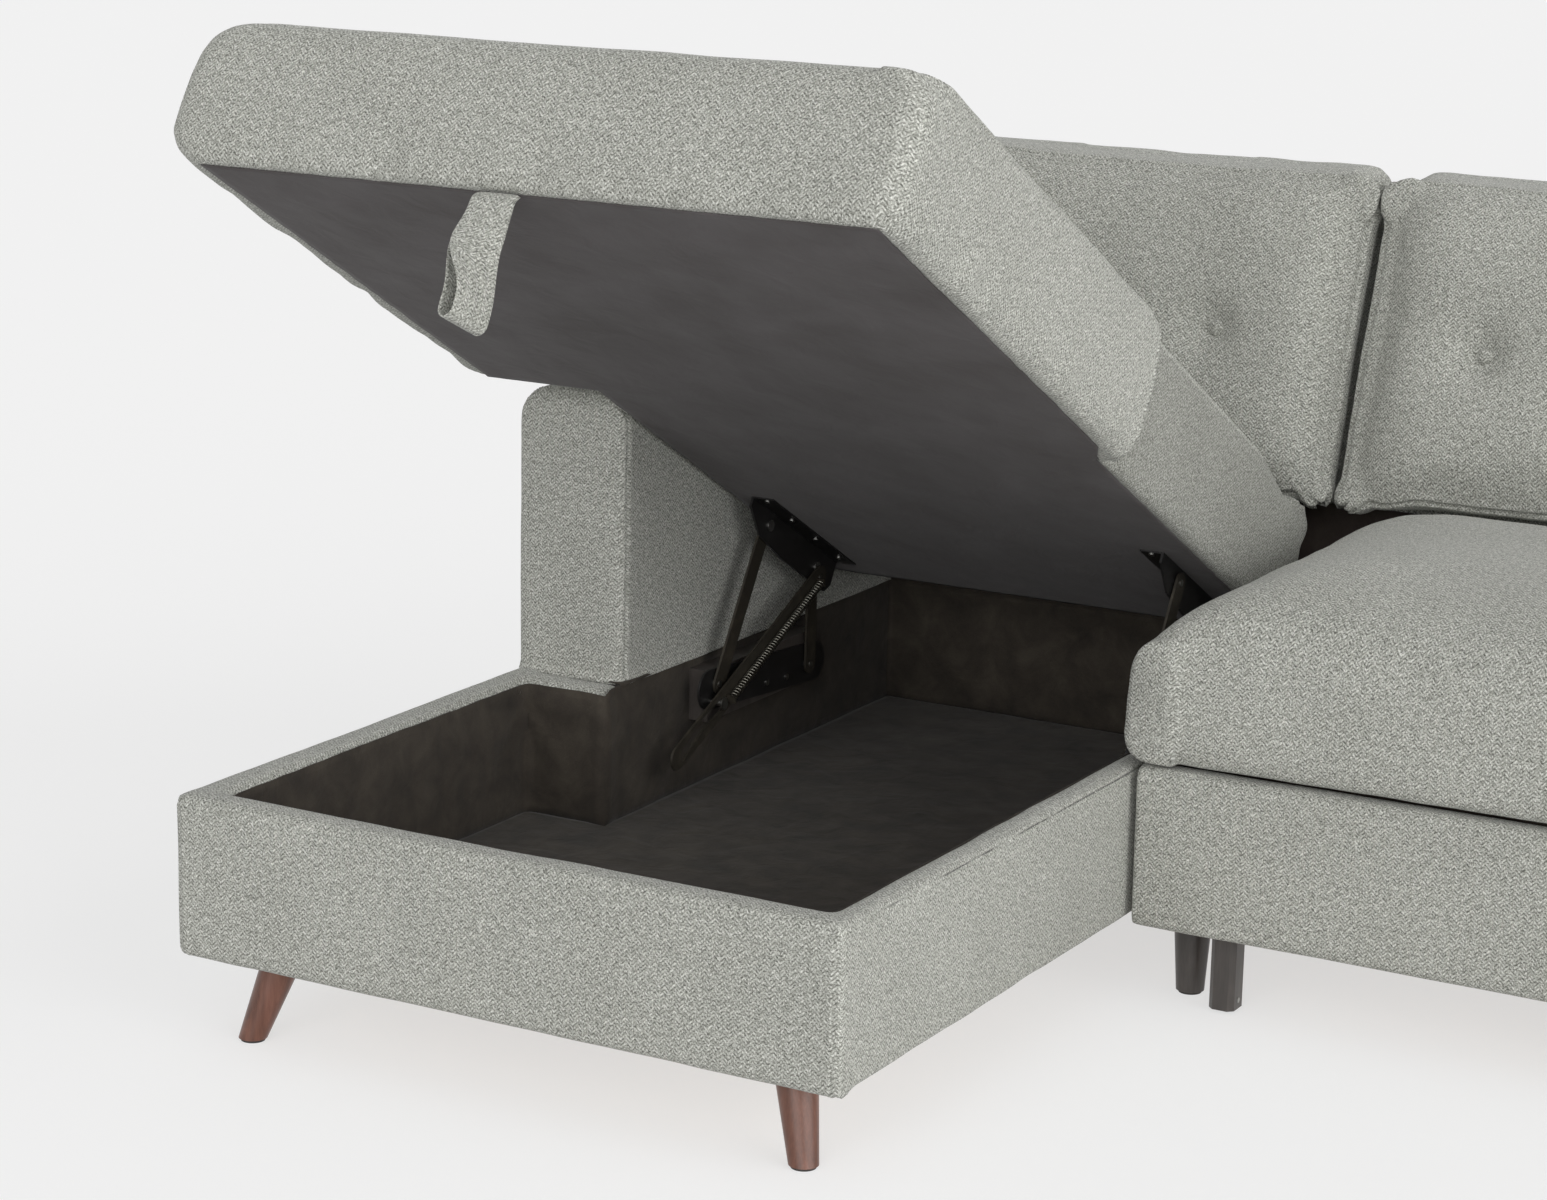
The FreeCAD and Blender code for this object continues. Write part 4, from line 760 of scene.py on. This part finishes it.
def tufted(piece, tufts):
    """Draw the cloth in at each tuft, in a small pit with creases that run out from it."""
    points = points_of(piece)
    distance, angle = from_tufts(points, tufts)
    front = 1.0 - rise(points[:, 1], 0.010, 0.030)
    pit = PIT * bell(distance, PIT_WIDTH) - COLLAR * bell(distance, COLLAR_WIDTH)
    creases = 0.0
    for turn, reach in TUFT_CREASES:
        off = np.abs(np.angle(np.exp(1j * (angle - turn)))) * distance
        creases = creases + (CREASE * bell(off, CREASE_WIDTH) * bell(distance, reach)
                             * rise(distance, 0.008, 0.014))
    points[:, 1] += (pit + creases) * front
    put_points(piece, points)


# The corners to fill at each end of a cushion: the plane, the centre's distance in from the end and its other
# place, the two reaches, the power, the weight and the fade.
CUSHION_CORNERS = (
    ((0, 1), 0.055, 0.050, 0.0535, -0.0440, 3.0, 0.85, 0.3),
    ((0, 2), 0.060, 0.362, 0.0585, 0.0650, 3.4, 1.0, 0.4),
    ((0, 2), 0.050, 0.055, 0.0485, -0.0545, 3.4, 1.0, 0.4),
)
CUSHION_STUFFING = 0.013
CUSHION_CROWN = 0.008
CUSHION_SIDE_GAP = 0.0012
CUSHION_HEIGHT = 0.43
TUFT_CALM = 0.055
BOUNDARY_SHIFT, BOUNDARY_BOW = 0.010, 0.003
BUTTON_SEAT = 0.009
button_level = {}
for side, low_x, high_x, tufts in cushions:
    cushion = soft_piece("cushion_" + side, ["back_cushion_" + side], CUSHION_PLACE, STUFFED_VOXEL, 1)
    start = points_of(cushion)
    inflate(cushion, CUSHION_STUFFING, lambda p: (1.0 - bell(from_tufts(p, tufts)[0], TUFT_CALM))
            * (1.0 - 0.7 * rise(p[:, 1], 0.06, 0.10)))
    hold_within(cushion, (low_x + CUSHION_SIDE_GAP, -FREE, start[:, 2].min() - 0.001),
                (high_x - CUSHION_SIDE_GAP, start[:, 1].max() + 0.001, FREE))
    points = points_of(cushion)
    from_middle = (2.0 * points[:, 0] - low_x - high_x) / (high_x - low_x)
    points[:, 2] += CUSHION_CROWN * (1.0 - from_middle ** 2) * rise(points[:, 2], 0.28, 0.42)
    for edge, way in ((low_x, 1.0), (high_x, -1.0)):
        for axes, inward, other, reach, other_reach, power, weight, soft in CUSHION_CORNERS:
            squared(points, axes, (edge + inward * way, other), (-reach * way, other_reach),
                    power, weight, soft)
    squared(points, (1, 2), (0.050, 0.366), (-0.0470, 0.0610), 3.0, 0.9, 0.3)
    share = 0.5 + 0.5 * from_middle
    points[:, 0] -= BOUNDARY_SHIFT * {"left": share, "middle": 1.0 - share}.get(side, 0.0)
    if side == "middle":
        bow = np.sin(np.pi * np.clip(points[:, 2] / CUSHION_HEIGHT, 0.0, 1.0))
        points[:, 0] -= BOUNDARY_BOW * np.clip(1.0 - share, 0.0, 1.0) ** 4 * bow
    put_points(cushion, points)
    crumple(cushion, (0.0016, 0.11, low_x * 9.0), (0.0008, 0.04, low_x * 5.0))
    tufted(cushion, tufts)
    points = points_of(cushion)
    for x in tufts:
        near = np.hypot(points[:, 0] - x, points[:, 2] - TUFT_HEIGHT) < BUTTON_SEAT
        button_level[x] = points[near, 1].min()
    seam(cushion, lambda p: p[:, 1] - CUSHION_SEAM, 0.0034, 0.0022, None, 0.0018)
    finish_soft(cushion, "frame", "back_cushion_" + side, fill=0.7)


def covered_buttons():
    """Small domed buttons, each pressed into its tuft, from radii and heights over the cloth."""
    profile = ((0.0008, 0.0068), (0.0032, 0.0065), (0.0062, 0.0056), (0.0086, 0.0038), (0.0101, 0.0014),
               (0.0104, -0.0006), (0.0092, -0.0022), (0.0040, -0.0026))
    turns = 28
    vertices, faces = [], []
    for x in [x for row in cushions for x in row[3]]:
        start = len(vertices)
        for radius, height in profile:
            for k in range(turns):
                a = 2.0 * math.pi * k / turns
                vertices.append((x + radius * math.cos(a), button_level[x] + 0.0006 - height,
                                 TUFT_HEIGHT + radius * math.sin(a)))
        for row in range(len(profile) - 1):
            for k in range(turns):
                a, b = start + row * turns + k, start + row * turns + (k + 1) % turns
                faces.append([a, a + turns, b + turns, b])
        faces.append([start + k for k in range(turns)])
        last = start + (len(profile) - 1) * turns
        faces.append([last + k for k in reversed(range(turns))])
    buttons = made("covered_buttons", vertices, faces, CUSHION_PLACE)
    finish_soft(buttons, "frame", "tuft_buttons", fill=1.0)


covered_buttons()

# Bench seat, pull-out front and the bed cushion on the platform inside
SEAT_STUFFING = 0.009
SEAT_CORNER_IN, SEAT_CORNER_Y, SEAT_CORNER_WIDTH = 0.010, 0.670, 0.038
SEAT_CORNER_FILL = 0.017
SEAT_CORNER_WAY = (0.75, 0.66, 0.0)
SEAT_EDGE = (SEAT_LEFT + 0.050, 0.350)
SEAT_FRONT_EDGE = (SEAT_LEFT + 0.050, 0.705)
SEAT_LOW = (SEAT_LEFT - 0.0100, 0.6535, 0.2805)
SEAT_HIGH = (SEAT_RIGHT - 0.0030, 1.325, FREE)
seat = soft_piece("bench_seat", ["seat_cushion"], UPRIGHT, STUFFED_VOXEL, 2)
inflate(seat, SEAT_STUFFING, lambda p: rise(p[:, 2], 0.30, 0.36) * (1.0 - rise(p[:, 1], 1.15, 1.25)))
points = points_of(seat)
x, y, z = points.T
corner = (x - SEAT_LEFT - SEAT_CORNER_IN) ** 2 + (y - SEAT_CORNER_Y) ** 2
fuller = (SEAT_CORNER_FILL * np.exp(-corner / SEAT_CORNER_WIDTH ** 2) * rise(z, 0.285, 0.32)
          * (1.0 - rise(z, 0.42, 0.49)))
points -= fuller[:, None] * np.array(SEAT_CORNER_WAY)
near_front = 1.0 - rise(y, 0.74, 1.15)
squared(points, (0, 2), SEAT_EDGE, (-0.0600, 0.0720), 3.2, near_front)
squared(points, (0, 2), SEAT_EDGE, (-0.0600, -0.0680), 4.5, near_front)
squared(points, (0, 1), SEAT_FRONT_EDGE, (-0.0600, -0.0510), 3.6,
        rise(z, 0.283, 0.30) * (1.0 - rise(z, 0.36, 0.43)))
put_points(seat, points)
crumple(seat, (0.0016, (0.35, 0.12, 0.12), 2.0), (0.0007, 0.05, 4.0))
hold_within(seat, SEAT_LOW, SEAT_HIGH)
finish_soft(seat, "frame", "seat_cushion", fill=0.8)

panel = soft_piece("pullout_front", ["pullout_front_cover"], UPRIGHT, VOXEL, 2)
crumple(panel, (0.0007, 0.09, 6.0))
finish_soft(panel, "pullout", "pullout_front_cover", fill=0.9)
bed = soft_piece("bed_pad", ["bed_cushion"], UPRIGHT, 2 * VOXEL, 3)
crumple(bed, (0.0012, 0.12, 8.0))
finish_soft(bed, "pullout", "bed_cushion", fill=0.8)

# Lift-up seat: its cloth goes round the foam and under the panel's edge, drawn in by staples.
STAPLE_LEVEL, STAPLE_WIDTH, PUCKER = 0.018, 0.026, 0.0042
TURNED_IN = 0.0045
TOP_EDGE_LEVEL, TOP_EDGE_WIDTH = 0.157, 0.026
WIDE_EDGE, NARROW_EDGE, FRONT_EDGE = 0.792, 0.764, 0.014
RIGHT_FILL, FRONT_FILL = 0.013, 0.005
STEP_TUCK, STEP_TUCK_WIDTH = 0.0080, 0.030
LID_SEAM = 0.1600
LID_SEAM_START, LID_LEFT_SIDE, LID_RIGHT_SIDE = 0.02, 0.06, 0.74
STEP_SEAM, STEP_SIDE = 0.009, 0.786
# Where the lid's painted shade goes: the side beyond this across, and this far in front of the step and
# behind it.
PAINTED_SHADE_SIDE, PAINTED_SHADE_BEHIND = 0.735, 0.0085
lid = soft_piece("lid_cover", ["lid_cushion_front", "lid_cushion_rear", "lid_panel", "lid_dust_cover"],
                 LID_PLACE, VOXEL, 5)
points = points_of(lid)
x, y, z = points.T
pucker = (ripple(points, (0.040, 0.040, 0.060), 11.0) * bell(z - STAPLE_LEVEL, STAPLE_WIDTH)
          * rise(z, 0.0, 0.006))
soft = 0.0018 * ripple(points, (0.30, 0.16, 0.10), 1.0) + 0.0008 * ripple(points, 0.06, 6.0)
calm = 1.0 - 0.8 * rise(y, 0.60, 0.70)
turned_in = TURNED_IN * (1.0 - rise(z, 0.004, 0.030))
side = np.where(y < LID_STEP - 0.004, WIDE_EDGE, NARROW_EDGE)
right_edge = (x - side) ** 2 + (z - TOP_EDGE_LEVEL) ** 2
front_edge = (y - FRONT_EDGE) ** 2 + (z - TOP_EDGE_LEVEL) ** 2
fuller = np.maximum(
    RIGHT_FILL * np.exp(-right_edge / TOP_EDGE_WIDTH ** 2) * (1.0 - rise(y, 1.05, 1.20)) * rise(y, 0.0, 0.06),
    FRONT_FILL * np.exp(-front_edge / TOP_EDGE_WIDTH ** 2))
swell(lid, (PUCKER * pucker + soft * rise(z, 0.01, 0.04)) * calm + turned_in + fuller)
points = points_of(lid)
x, y, z = points.T
upright = rise(z, 0.010, 0.050) * (1.0 - 0.7 * rise(z, 0.145, 0.172))
squared(points, (0, 1), (0.766, LID_STEP - 0.026), (0.0265, 0.0265), 7.0, upright)
squared(points, (0, 1), (0.752, 0.040), (0.0405, -0.0405), 4.5, upright)
squared(points, (1, 2), (1.196, 0.104), (0.0700, 0.0690), 4.5, 1.0, 0.45)
squared(points, (0, 1), (0.722, 1.214), (0.0420, 0.0515), 4.0, upright, 0.45)
tucked = bell(y - LID_STEP, STEP_TUCK_WIDTH) * (1.0 - rise(z, 0.004, 0.040)) * rise(x, 0.768, 0.786)
points[:, 0] -= STEP_TUCK * tucked
put_points(lid, points)
seam(lid, lambda p: p[:, 2] - LID_SEAM, 0.0023, 0.0016,
     lambda p: (p[:, 0] > LID_RIGHT_SIDE) & (p[:, 1] > LID_SEAM_START), 0.0017)
seam(lid, lambda p: p[:, 2] - LID_SEAM, 0.0017, 0.0018,
     lambda p: (p[:, 0] < LID_LEFT_SIDE) & (p[:, 1] > LID_SEAM_START), 0.0010)
seam(lid, lambda p: p[:, 1] - LID_STEP + STEP_SEAM, 0.0022, 0.0016,
     lambda p: (p[:, 0] > STEP_SIDE) & (p[:, 2] < LID_SEAM), 0.0020)
hold_within(lid, (-FREE, -FREE, 0.0004), (FREE, FREE, FREE))
finish_soft(lid, "lid", "lid_cushion_front", "lid_cushion_rear", fill=0.8)

# Painted shade: the narrow part's side below the seam wears a darker copy of the upholstery, for the shade
# that falls there.
lid.data.materials.append(FABRIC_PAINTED_SHADE)
for face in lid.data.polygons:
    x, y, z = face.center
    if x > PAINTED_SHADE_SIDE and y > LID_STEP - PAINTED_SHADE_BEHIND and z < LID_SEAM:
        face.material_index = 1

CLOTH_THICKNESS = 0.0008
DUST_INSET = 0.0090
BRACKETS_X = (0.210, 0.710)


def dust_cover():
    """The thin cloth stapled under the lid, a little loose between its edges."""
    left, notch_left = DUST_INSET, ARM_WIDTH + DUST_INSET
    right, narrow_right = CHAISE_WIDTH - DUST_INSET, LID_NARROW_RIGHT - DUST_INSET
    front, notch = DUST_INSET, LID_NOTCH - DUST_INSET
    wide, rear = LID_STEP - DUST_INSET, LID_LENGTH - DUST_INSET
    points, faces, outward = stepped_sheet(
        lines(left, notch_left, narrow_right, right), lines(front, notch, wide, rear),
        lambda x, y: not (x < notch_left and y > notch) and not (x > narrow_right and y > wide))
    from_edge = np.minimum.reduce([
        np.where(points[:, 1] < notch, points[:, 0] - left, points[:, 0] - notch_left),
        np.where(points[:, 1] < wide, right - points[:, 0], narrow_right - points[:, 0]),
        points[:, 1] - front, rear - points[:, 1]])
    loose = rise(from_edge, 0.034, 0.10)
    tapered = 0.8 * rise(points[:, 1], wide - 0.050, wide) * (points[:, 1] < wide + 0.001)
    points[:, 0] -= np.maximum(points[:, 0] - narrow_right, 0.0) * tapered
    for x in BRACKETS_X:
        loose = loose * (1.0 - rise(points[:, 1], 0.86, 0.94) * bell(points[:, 0] - x, 0.050))
    x, y, z = points.T
    slant = np.column_stack((x + 0.6 * y, y - 0.6 * x, z))
    waves = ripple(points, (0.22, 0.16, 1.0), 3.0) + 0.45 * ripple(slant, (0.30, 0.045, 1.0), 8.0)
    points[:, 2] = -0.0006 - loose * (0.0026 + 0.0020 * waves)
    points += outward * (0.0013 * ripple(points, 0.020, 4.0))[:, None]
    sheet = thickened(made("lid_dust_cloth", points, [face[::-1] for face in faces], LID_PLACE),
                      CLOTH_THICKNESS)
    wear(DUST, sheet)
    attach(sheet, "lid")
    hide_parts("lid_dust_cover")


dust_cover()


def pull_strap():
    """A band folded into a loop: stapled under the lid's edge, twisted, and open towards its fold."""
    width, length, half_layer = 0.0500, 0.1500, 0.0012
    right, out = 0.4030, -0.0050
    opening = 0.0095
    turn = math.radians(76.0)
    down = length - opening

    def frame_at(t):
        angle = turn * float(rise(np.array(t), 0.10, 0.90))
        across = Vector((-math.cos(angle), -math.sin(angle), 0.0))
        facing = Vector((math.sin(angle), -math.cos(angle), 0.0))
        under = 0.012 * max(0.0, 1.0 - t / 0.10) ** 2
        edge = Vector((right + 0.004 * t, out + under, -0.0020 - down * t))
        half = half_layer + 0.0002 + (opening - half_layer) * float(rise(np.array(t), 0.15, 0.95)) ** 1.5
        return edge, across, facing, half

    path = []
    runs = 26
    for k in range(runs + 1):
        t = k / runs
        edge, across, facing, half = frame_at(t)
        path.append((edge + facing * half, across))
    edge, across, facing, half = frame_at(1.0)
    for k in range(1, 12):
        a = math.pi * k / 12
        path.append((edge + facing * half * math.cos(a) + Vector((0, 0, -half * math.sin(a))), across))
    for k in range(runs, -1, -1):
        t = k / runs
        edge, across, facing, half = frame_at(t)
        path.append((edge - facing * half, across))
    ring = []
    for u in (0.0, 0.03, 0.07, 0.10, 0.13, 0.3, 0.5, 0.7, 0.87, 0.90, 0.93, 0.97, 1.0):
        stitched = 0.55 if u in (0.10, 0.90) else 1.0
        ring.append((u, 0.35 if u in (0.0, 1.0) else stitched))
    outline = [(u, share) for u, share in ring] + [(u, -share) for u, share in reversed(ring)]
    vertices, faces = [], []
    for k, (place, across) in enumerate(path):
        before, after = path[max(k - 1, 0)][0], path[min(k + 1, len(path) - 1)][0]
        normal = (after - before).cross(across).normalized()
        for u, share in outline:
            vertices.append(place + across * (width * u) + normal * (half_layer * share))
    count = len(outline)
    for k in range(len(path) - 1):
        for i in range(count):
            a, b = k * count + i, k * count + (i + 1) % count
            faces.append([a, b, b + count, a + count])
    faces.append(list(range(count))[::-1])
    faces.append([(len(path) - 1) * count + i for i in range(count)])
    strap = made("pull_strap_loop", vertices, faces, LID_PLACE)
    bm = bmesh.new()
    bm.from_mesh(strap.data)
    bmesh.ops.recalc_face_normals(bm, faces=bm.faces)
    bm.to_mesh(strap.data)
    bm.free()
    modified(strap, "SUBSURF", levels=1, render_levels=1)
    strap.matrix_world = LID_PLACE
    wear(FABRIC, strap)
    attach(strap, "lid")
    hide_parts("pull_strap")
    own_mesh(strap)


pull_strap()


# The storage box's inside: the corners of its walls, the cloth's level at the top of the wall that starts at
# each, the level of its foot, and the screw that draws it in. It is rounded in all corners but one.
LINING_CORNERS = [
    (0.042, 0.038), (0.770, 0.038), (0.770, 1.327), (0.150, 1.327), (0.150, 0.612), (0.042, 0.612)]
LINING_TOPS = (0.2700, 0.2700, 0.2748, 0.2748, 0.2700, 0.2700)
LINING_FOOT = 0.1112
LINING_SCREW = np.array((0.042, 0.598, 0.248))
LINING_TIGHT_CORNER = 3
LINING_ROUND = 0.012
SCREW_REACH, SCREW_FOLD = 0.22, 0.10
FLOOR_X, FLOOR_Y = (0.043, 0.151, 0.769), (0.039, 0.611, 1.326)
OVER_REAR_Y = (1.3248, 1.3266, 1.3330, 1.3400)
OVER_INNER_X = (0.1526, 0.1508, 0.1440, 0.1345)
OVER_INNER_FRONT = 0.6470
FOLD_FOOT, FOLD_TOP = 0.2728, 0.2758


def lining_route():
    """Points along the walls, each with its way in, the wall's top and its share of a rounded corner."""
    route = []
    for k, (start, end) in enumerate(zip(LINING_CORNERS, LINING_CORNERS[1:] + LINING_CORNERS[:1])):
        start, end = np.array(start), np.array(end)
        span = np.linalg.norm(end - start)
        inward = np.array((-(end - start)[1], (end - start)[0])) / span
        count = max(2, round(span / CLOTH_STEP))
        for i in range(count):
            share = i / count
            way = inward
            if i == 0:
                last = np.array(LINING_CORNERS[k]) - np.array(LINING_CORNERS[k - 1])
                way = inward + np.array((-last[1], last[0])) / np.linalg.norm(last)
            near = min(share, 1.0 - share) * span
            corner = k if share < 0.5 else k + 1
            rounded = math.exp(-(near / LINING_ROUND) ** 2) if corner != LINING_TIGHT_CORNER else 0.0
            route.append((start + (end - start) * share, way, LINING_TOPS[k], rounded))
    return route


def lining_push(spot, z, level, inside, rounded):
    """How far the cloth stands off its wall: loose between foot and top, with folds that run to the screw."""
    loose = math.sin(math.pi * min(1.0, level * 1.02)) ** 0.7 if inside else 0.0
    if spot[1] > 0.74 and 0.1 < spot[0]:
        loose *= 0.12
    wave = noise.noise(Vector((spot[0] * 14.0, spot[1] * 14.0, z * 9.0)))
    fine = noise.noise(Vector((spot[0] * 45.0, spot[1] * 45.0, z * 12.0 + 3.0)))
    push = 0.0014 + loose * (0.0016 + 0.0018 * wave + 0.0010 * fine) + 0.0035 * rounded
    away = np.array((spot[0], spot[1], z)) - LINING_SCREW
    reach = math.hypot(math.hypot(away[0], away[1]), away[2])
    if reach < SCREW_REACH and away[2] < 0.004:
        angle = math.atan2(-away[2], math.hypot(away[0], away[1]) * (1.0 if away[0] > 0.002 else -1.0))
        fold = math.cos(7.0 * angle) * math.exp(-(reach / SCREW_FOLD) ** 2) * min(1.0, reach / 0.03)
        push += 0.0026 * (0.6 + fold) * (1.0 if level < 1.0 else 0.3)
    return push


def lining_walls():
    """The cloth on the walls, from their foot to their top."""
    route = lining_route()
    rows = 15
    vertices, faces = [], []
    for k, (spot, way, top, rounded) in enumerate(route):
        for row in range(rows + 1):
            level = row / rows
            edge = 0.0010 * noise.noise(Vector((spot[0] * 40.0, spot[1] * 40.0, 5.0))) if row == rows else 0.0
            z = LINING_FOOT + (top - LINING_FOOT) * level + edge
            push = lining_push(spot, z, level, 0 < row < rows, rounded)
            vertices.append((spot[0] + way[0] * push, spot[1] + way[1] * push, z))
        for row in range(rows):
            a = k * (rows + 1) + row
            b = ((k + 1) % len(route)) * (rows + 1) + row
            faces.append([a, b, b + 1, a + 1])
    return vertices, faces


def lining_floor():
    """The cloth on the floor, with low waves."""
    notch_x, notch_y = FLOOR_X[1], FLOOR_Y[1]
    points, faces, _ = stepped_sheet(
        lines(*FLOOR_X), lines(*FLOOR_Y), lambda x, y: not (x < notch_x and y > notch_y))
    points[:, 2] = LINING_FOOT + 0.0006 + 0.0009 * (1.0 + ripple(points, (0.16, 0.10, 1.0), 2.0))
    return points, faces


def lining_fold(strip, row_length):
    """Cloth that lies over a board's top: rows of points across it, each row's first one lower."""
    points = [(x, y, (FOLD_FOOT if k % row_length == 0 else FOLD_TOP) + 0.0003 * math.sin((x + y) * 140.0))
              for k, (x, y) in enumerate(strip)]
    faces = []
    for k in range(len(strip) // row_length - 1):
        for row in range(row_length - 1):
            a = row_length * k + row
            faces.append([a, a + row_length, a + row_length + 1, a + 1])
    return points, faces


def box_lining():
    """The dark cloth inside the storage box: on its walls and floor, and over the rear and inner boards."""
    over_rear = [(x, y) for x in lines(*FLOOR_X[1:]) for y in OVER_REAR_Y]
    over_inner = [(x, y) for y in lines(OVER_INNER_FRONT, FLOOR_Y[2]) for x in OVER_INNER_X]
    vertices, faces = [], []
    for more, more_faces in (lining_walls(), lining_floor(), lining_fold(over_rear, len(OVER_REAR_Y)),
                             lining_fold(over_inner, len(OVER_INNER_X))):
        start = len(vertices)
        vertices += [tuple(point) for point in more]
        faces += [[start + index for index in face] for face in more_faces]
    cloth = thickened(made("box_lining_cloth", vertices, faces, UPRIGHT), CLOTH_THICKNESS)
    wear(LINING, cloth)
    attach(cloth, "frame")
    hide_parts("storage_lining")


box_lining()

# Timber that reads as dark in the dressed sofa. The dark cloth on the seat deck is painted shade, for the
# shade in the gap between the seat and the pull-out front.
wear(GAP_CLOTH_AND_SHADE, NODES["back_gap_panel"], NODES["seat_deck"])
wear(BLACK_WOOD, NODES["bracket_blocks"], NODES["chaise_inner_board"])


# Camera, floor and light. The camera's place is in metres from the chaise's front left corner, its turns are
# yaw, pitch and roll in degrees, and its focal length is in pixels of a picture PHOTO_WIDTH wide. Each light
# has its strength, its angle in degrees and its direction.
CAMERA_PLACE = (2.4169, -3.0291, 1.4067)
CAMERA_TURNS = (29.29, 13.37, -1.20)
FOCAL_LENGTH = 3794.1
PHOTO_WIDTH = 1547.0
SENSOR_WIDTH = 36.0
SKY = 0.40
BACKGROUND = 0.89
FLOOR_SIZE = 80.0
FLOOR_PAINT = 0.88
FLOOR_SHADE = 0.385
FLOOR_GLOW = 0.62
LIGHTS = (
    ("front", 1.24, 50.0, (-0.15, 0.80, -0.25)),
    ("side", 1.52, 50.0, (-0.86, 0.25, -0.20)),
    ("back", 0.55, 30.0, (-0.85, -0.35, -0.25)),
)


def nodes_in(tree, *kinds):
    """New nodes of these kinds in an emptied node tree."""
    tree.nodes.clear()
    return [tree.nodes.new("ShaderNode" + kind) for kind in kinds]


def linked(tree, *pairs):
    for start, end in pairs:
        tree.links.new(start, end)


def grey(value):
    return (value, value, value, 1.0)


def camera():
    """The photograph's view."""
    yaw, pitch, roll = (math.radians(value) for value in CAMERA_TURNS)
    forward = Vector((-math.sin(yaw) * math.cos(pitch), math.cos(yaw) * math.cos(pitch), -math.sin(pitch)))
    level = Vector((math.cos(yaw), math.sin(yaw), 0.0))
    down = forward.cross(level)
    right = level * math.cos(roll) + down * math.sin(roll)
    downwards = down * math.cos(roll) - level * math.sin(roll)
    data = bpy.data.cameras.new("camera")
    data.sensor_width = SENSOR_WIDTH
    data.lens = FOCAL_LENGTH / PHOTO_WIDTH * SENSOR_WIDTH
    data.clip_end = 100.0
    found = placed("camera", data)
    turned = Matrix((right, -downwards, -forward)).transposed().to_4x4()
    found.matrix_world = Matrix.Translation(at(*CAMERA_PLACE)) @ turned
    bpy.context.scene.camera = found


def seen_directly(tree):
    """1 for the rays that the camera, gloss and glass send, 0 for the light's own bounces."""
    path = tree.nodes.new("ShaderNodeLightPath")
    total = path.outputs["Is Camera Ray"]
    for name in ("Is Glossy Ray", "Is Transmission Ray"):
        more = tree.nodes.new("ShaderNodeMath")
        more.operation = "MAXIMUM"
        linked(tree, (total, more.inputs[0]), (path.outputs[name], more.inputs[1]))
        total = more.outputs[0]
    return total


def floor():
    """A pale floor: plain paint to the light, and to the camera mostly its own tone, for faint shadows."""
    bpy.ops.mesh.primitive_plane_add(size=FLOOR_SIZE, location=(0, 0, 0))
    ground = bpy.context.object
    ground.name = "floor"
    material = bpy.data.materials.new("floor_paint")
    material.use_nodes = True
    tree = material.node_tree
    out, paint, thin, glow, both, mix = nodes_in(
        tree, "OutputMaterial", "BsdfDiffuse", "BsdfDiffuse", "Emission", "AddShader", "MixShader")
    paint.inputs[0].default_value = grey(FLOOR_PAINT)
    thin.inputs[0].default_value = grey(FLOOR_SHADE)
    glow.inputs[1].default_value = FLOOR_GLOW
    linked(tree, (thin.outputs[0], both.inputs[0]), (glow.outputs[0], both.inputs[1]),
           (seen_directly(tree), mix.inputs[0]), (paint.outputs[0], mix.inputs[1]),
           (both.outputs[0], mix.inputs[2]), (mix.outputs[0], out.inputs[0]))
    wear(material, ground)
    ground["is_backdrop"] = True


def light(name, strength, angle, direction):
    data = bpy.data.lights.new(name, "SUN")
    data.energy = strength
    data.angle = math.radians(angle)
    found = placed(name, data)
    found.rotation_mode = "QUATERNION"
    found.rotation_quaternion = Vector(direction).to_track_quat("-Z", "Y")


def world():
    """A soft sky whose pale tone is also what the camera and gloss see."""
    made_world = bpy.data.worlds.new("studio")
    made_world.use_nodes = True
    tree = made_world.node_tree
    out, sky, seen, mix = nodes_in(tree, "OutputWorld", "Background", "Background", "MixShader")
    sky.inputs[0].default_value = grey(1.0)
    sky.inputs[1].default_value = SKY
    seen.inputs[0].default_value = grey(BACKGROUND)
    seen.inputs[1].default_value = 1.0
    linked(tree, (seen_directly(tree), mix.inputs[0]), (sky.outputs[0], mix.inputs[1]),
           (seen.outputs[0], mix.inputs[2]), (mix.outputs[0], out.inputs[0]))
    bpy.context.scene.world = made_world


camera()
floor()
world()
for row in LIGHTS:
    light(*row)
bpy.context.scene.view_settings.view_transform = "Standard"

low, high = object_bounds()
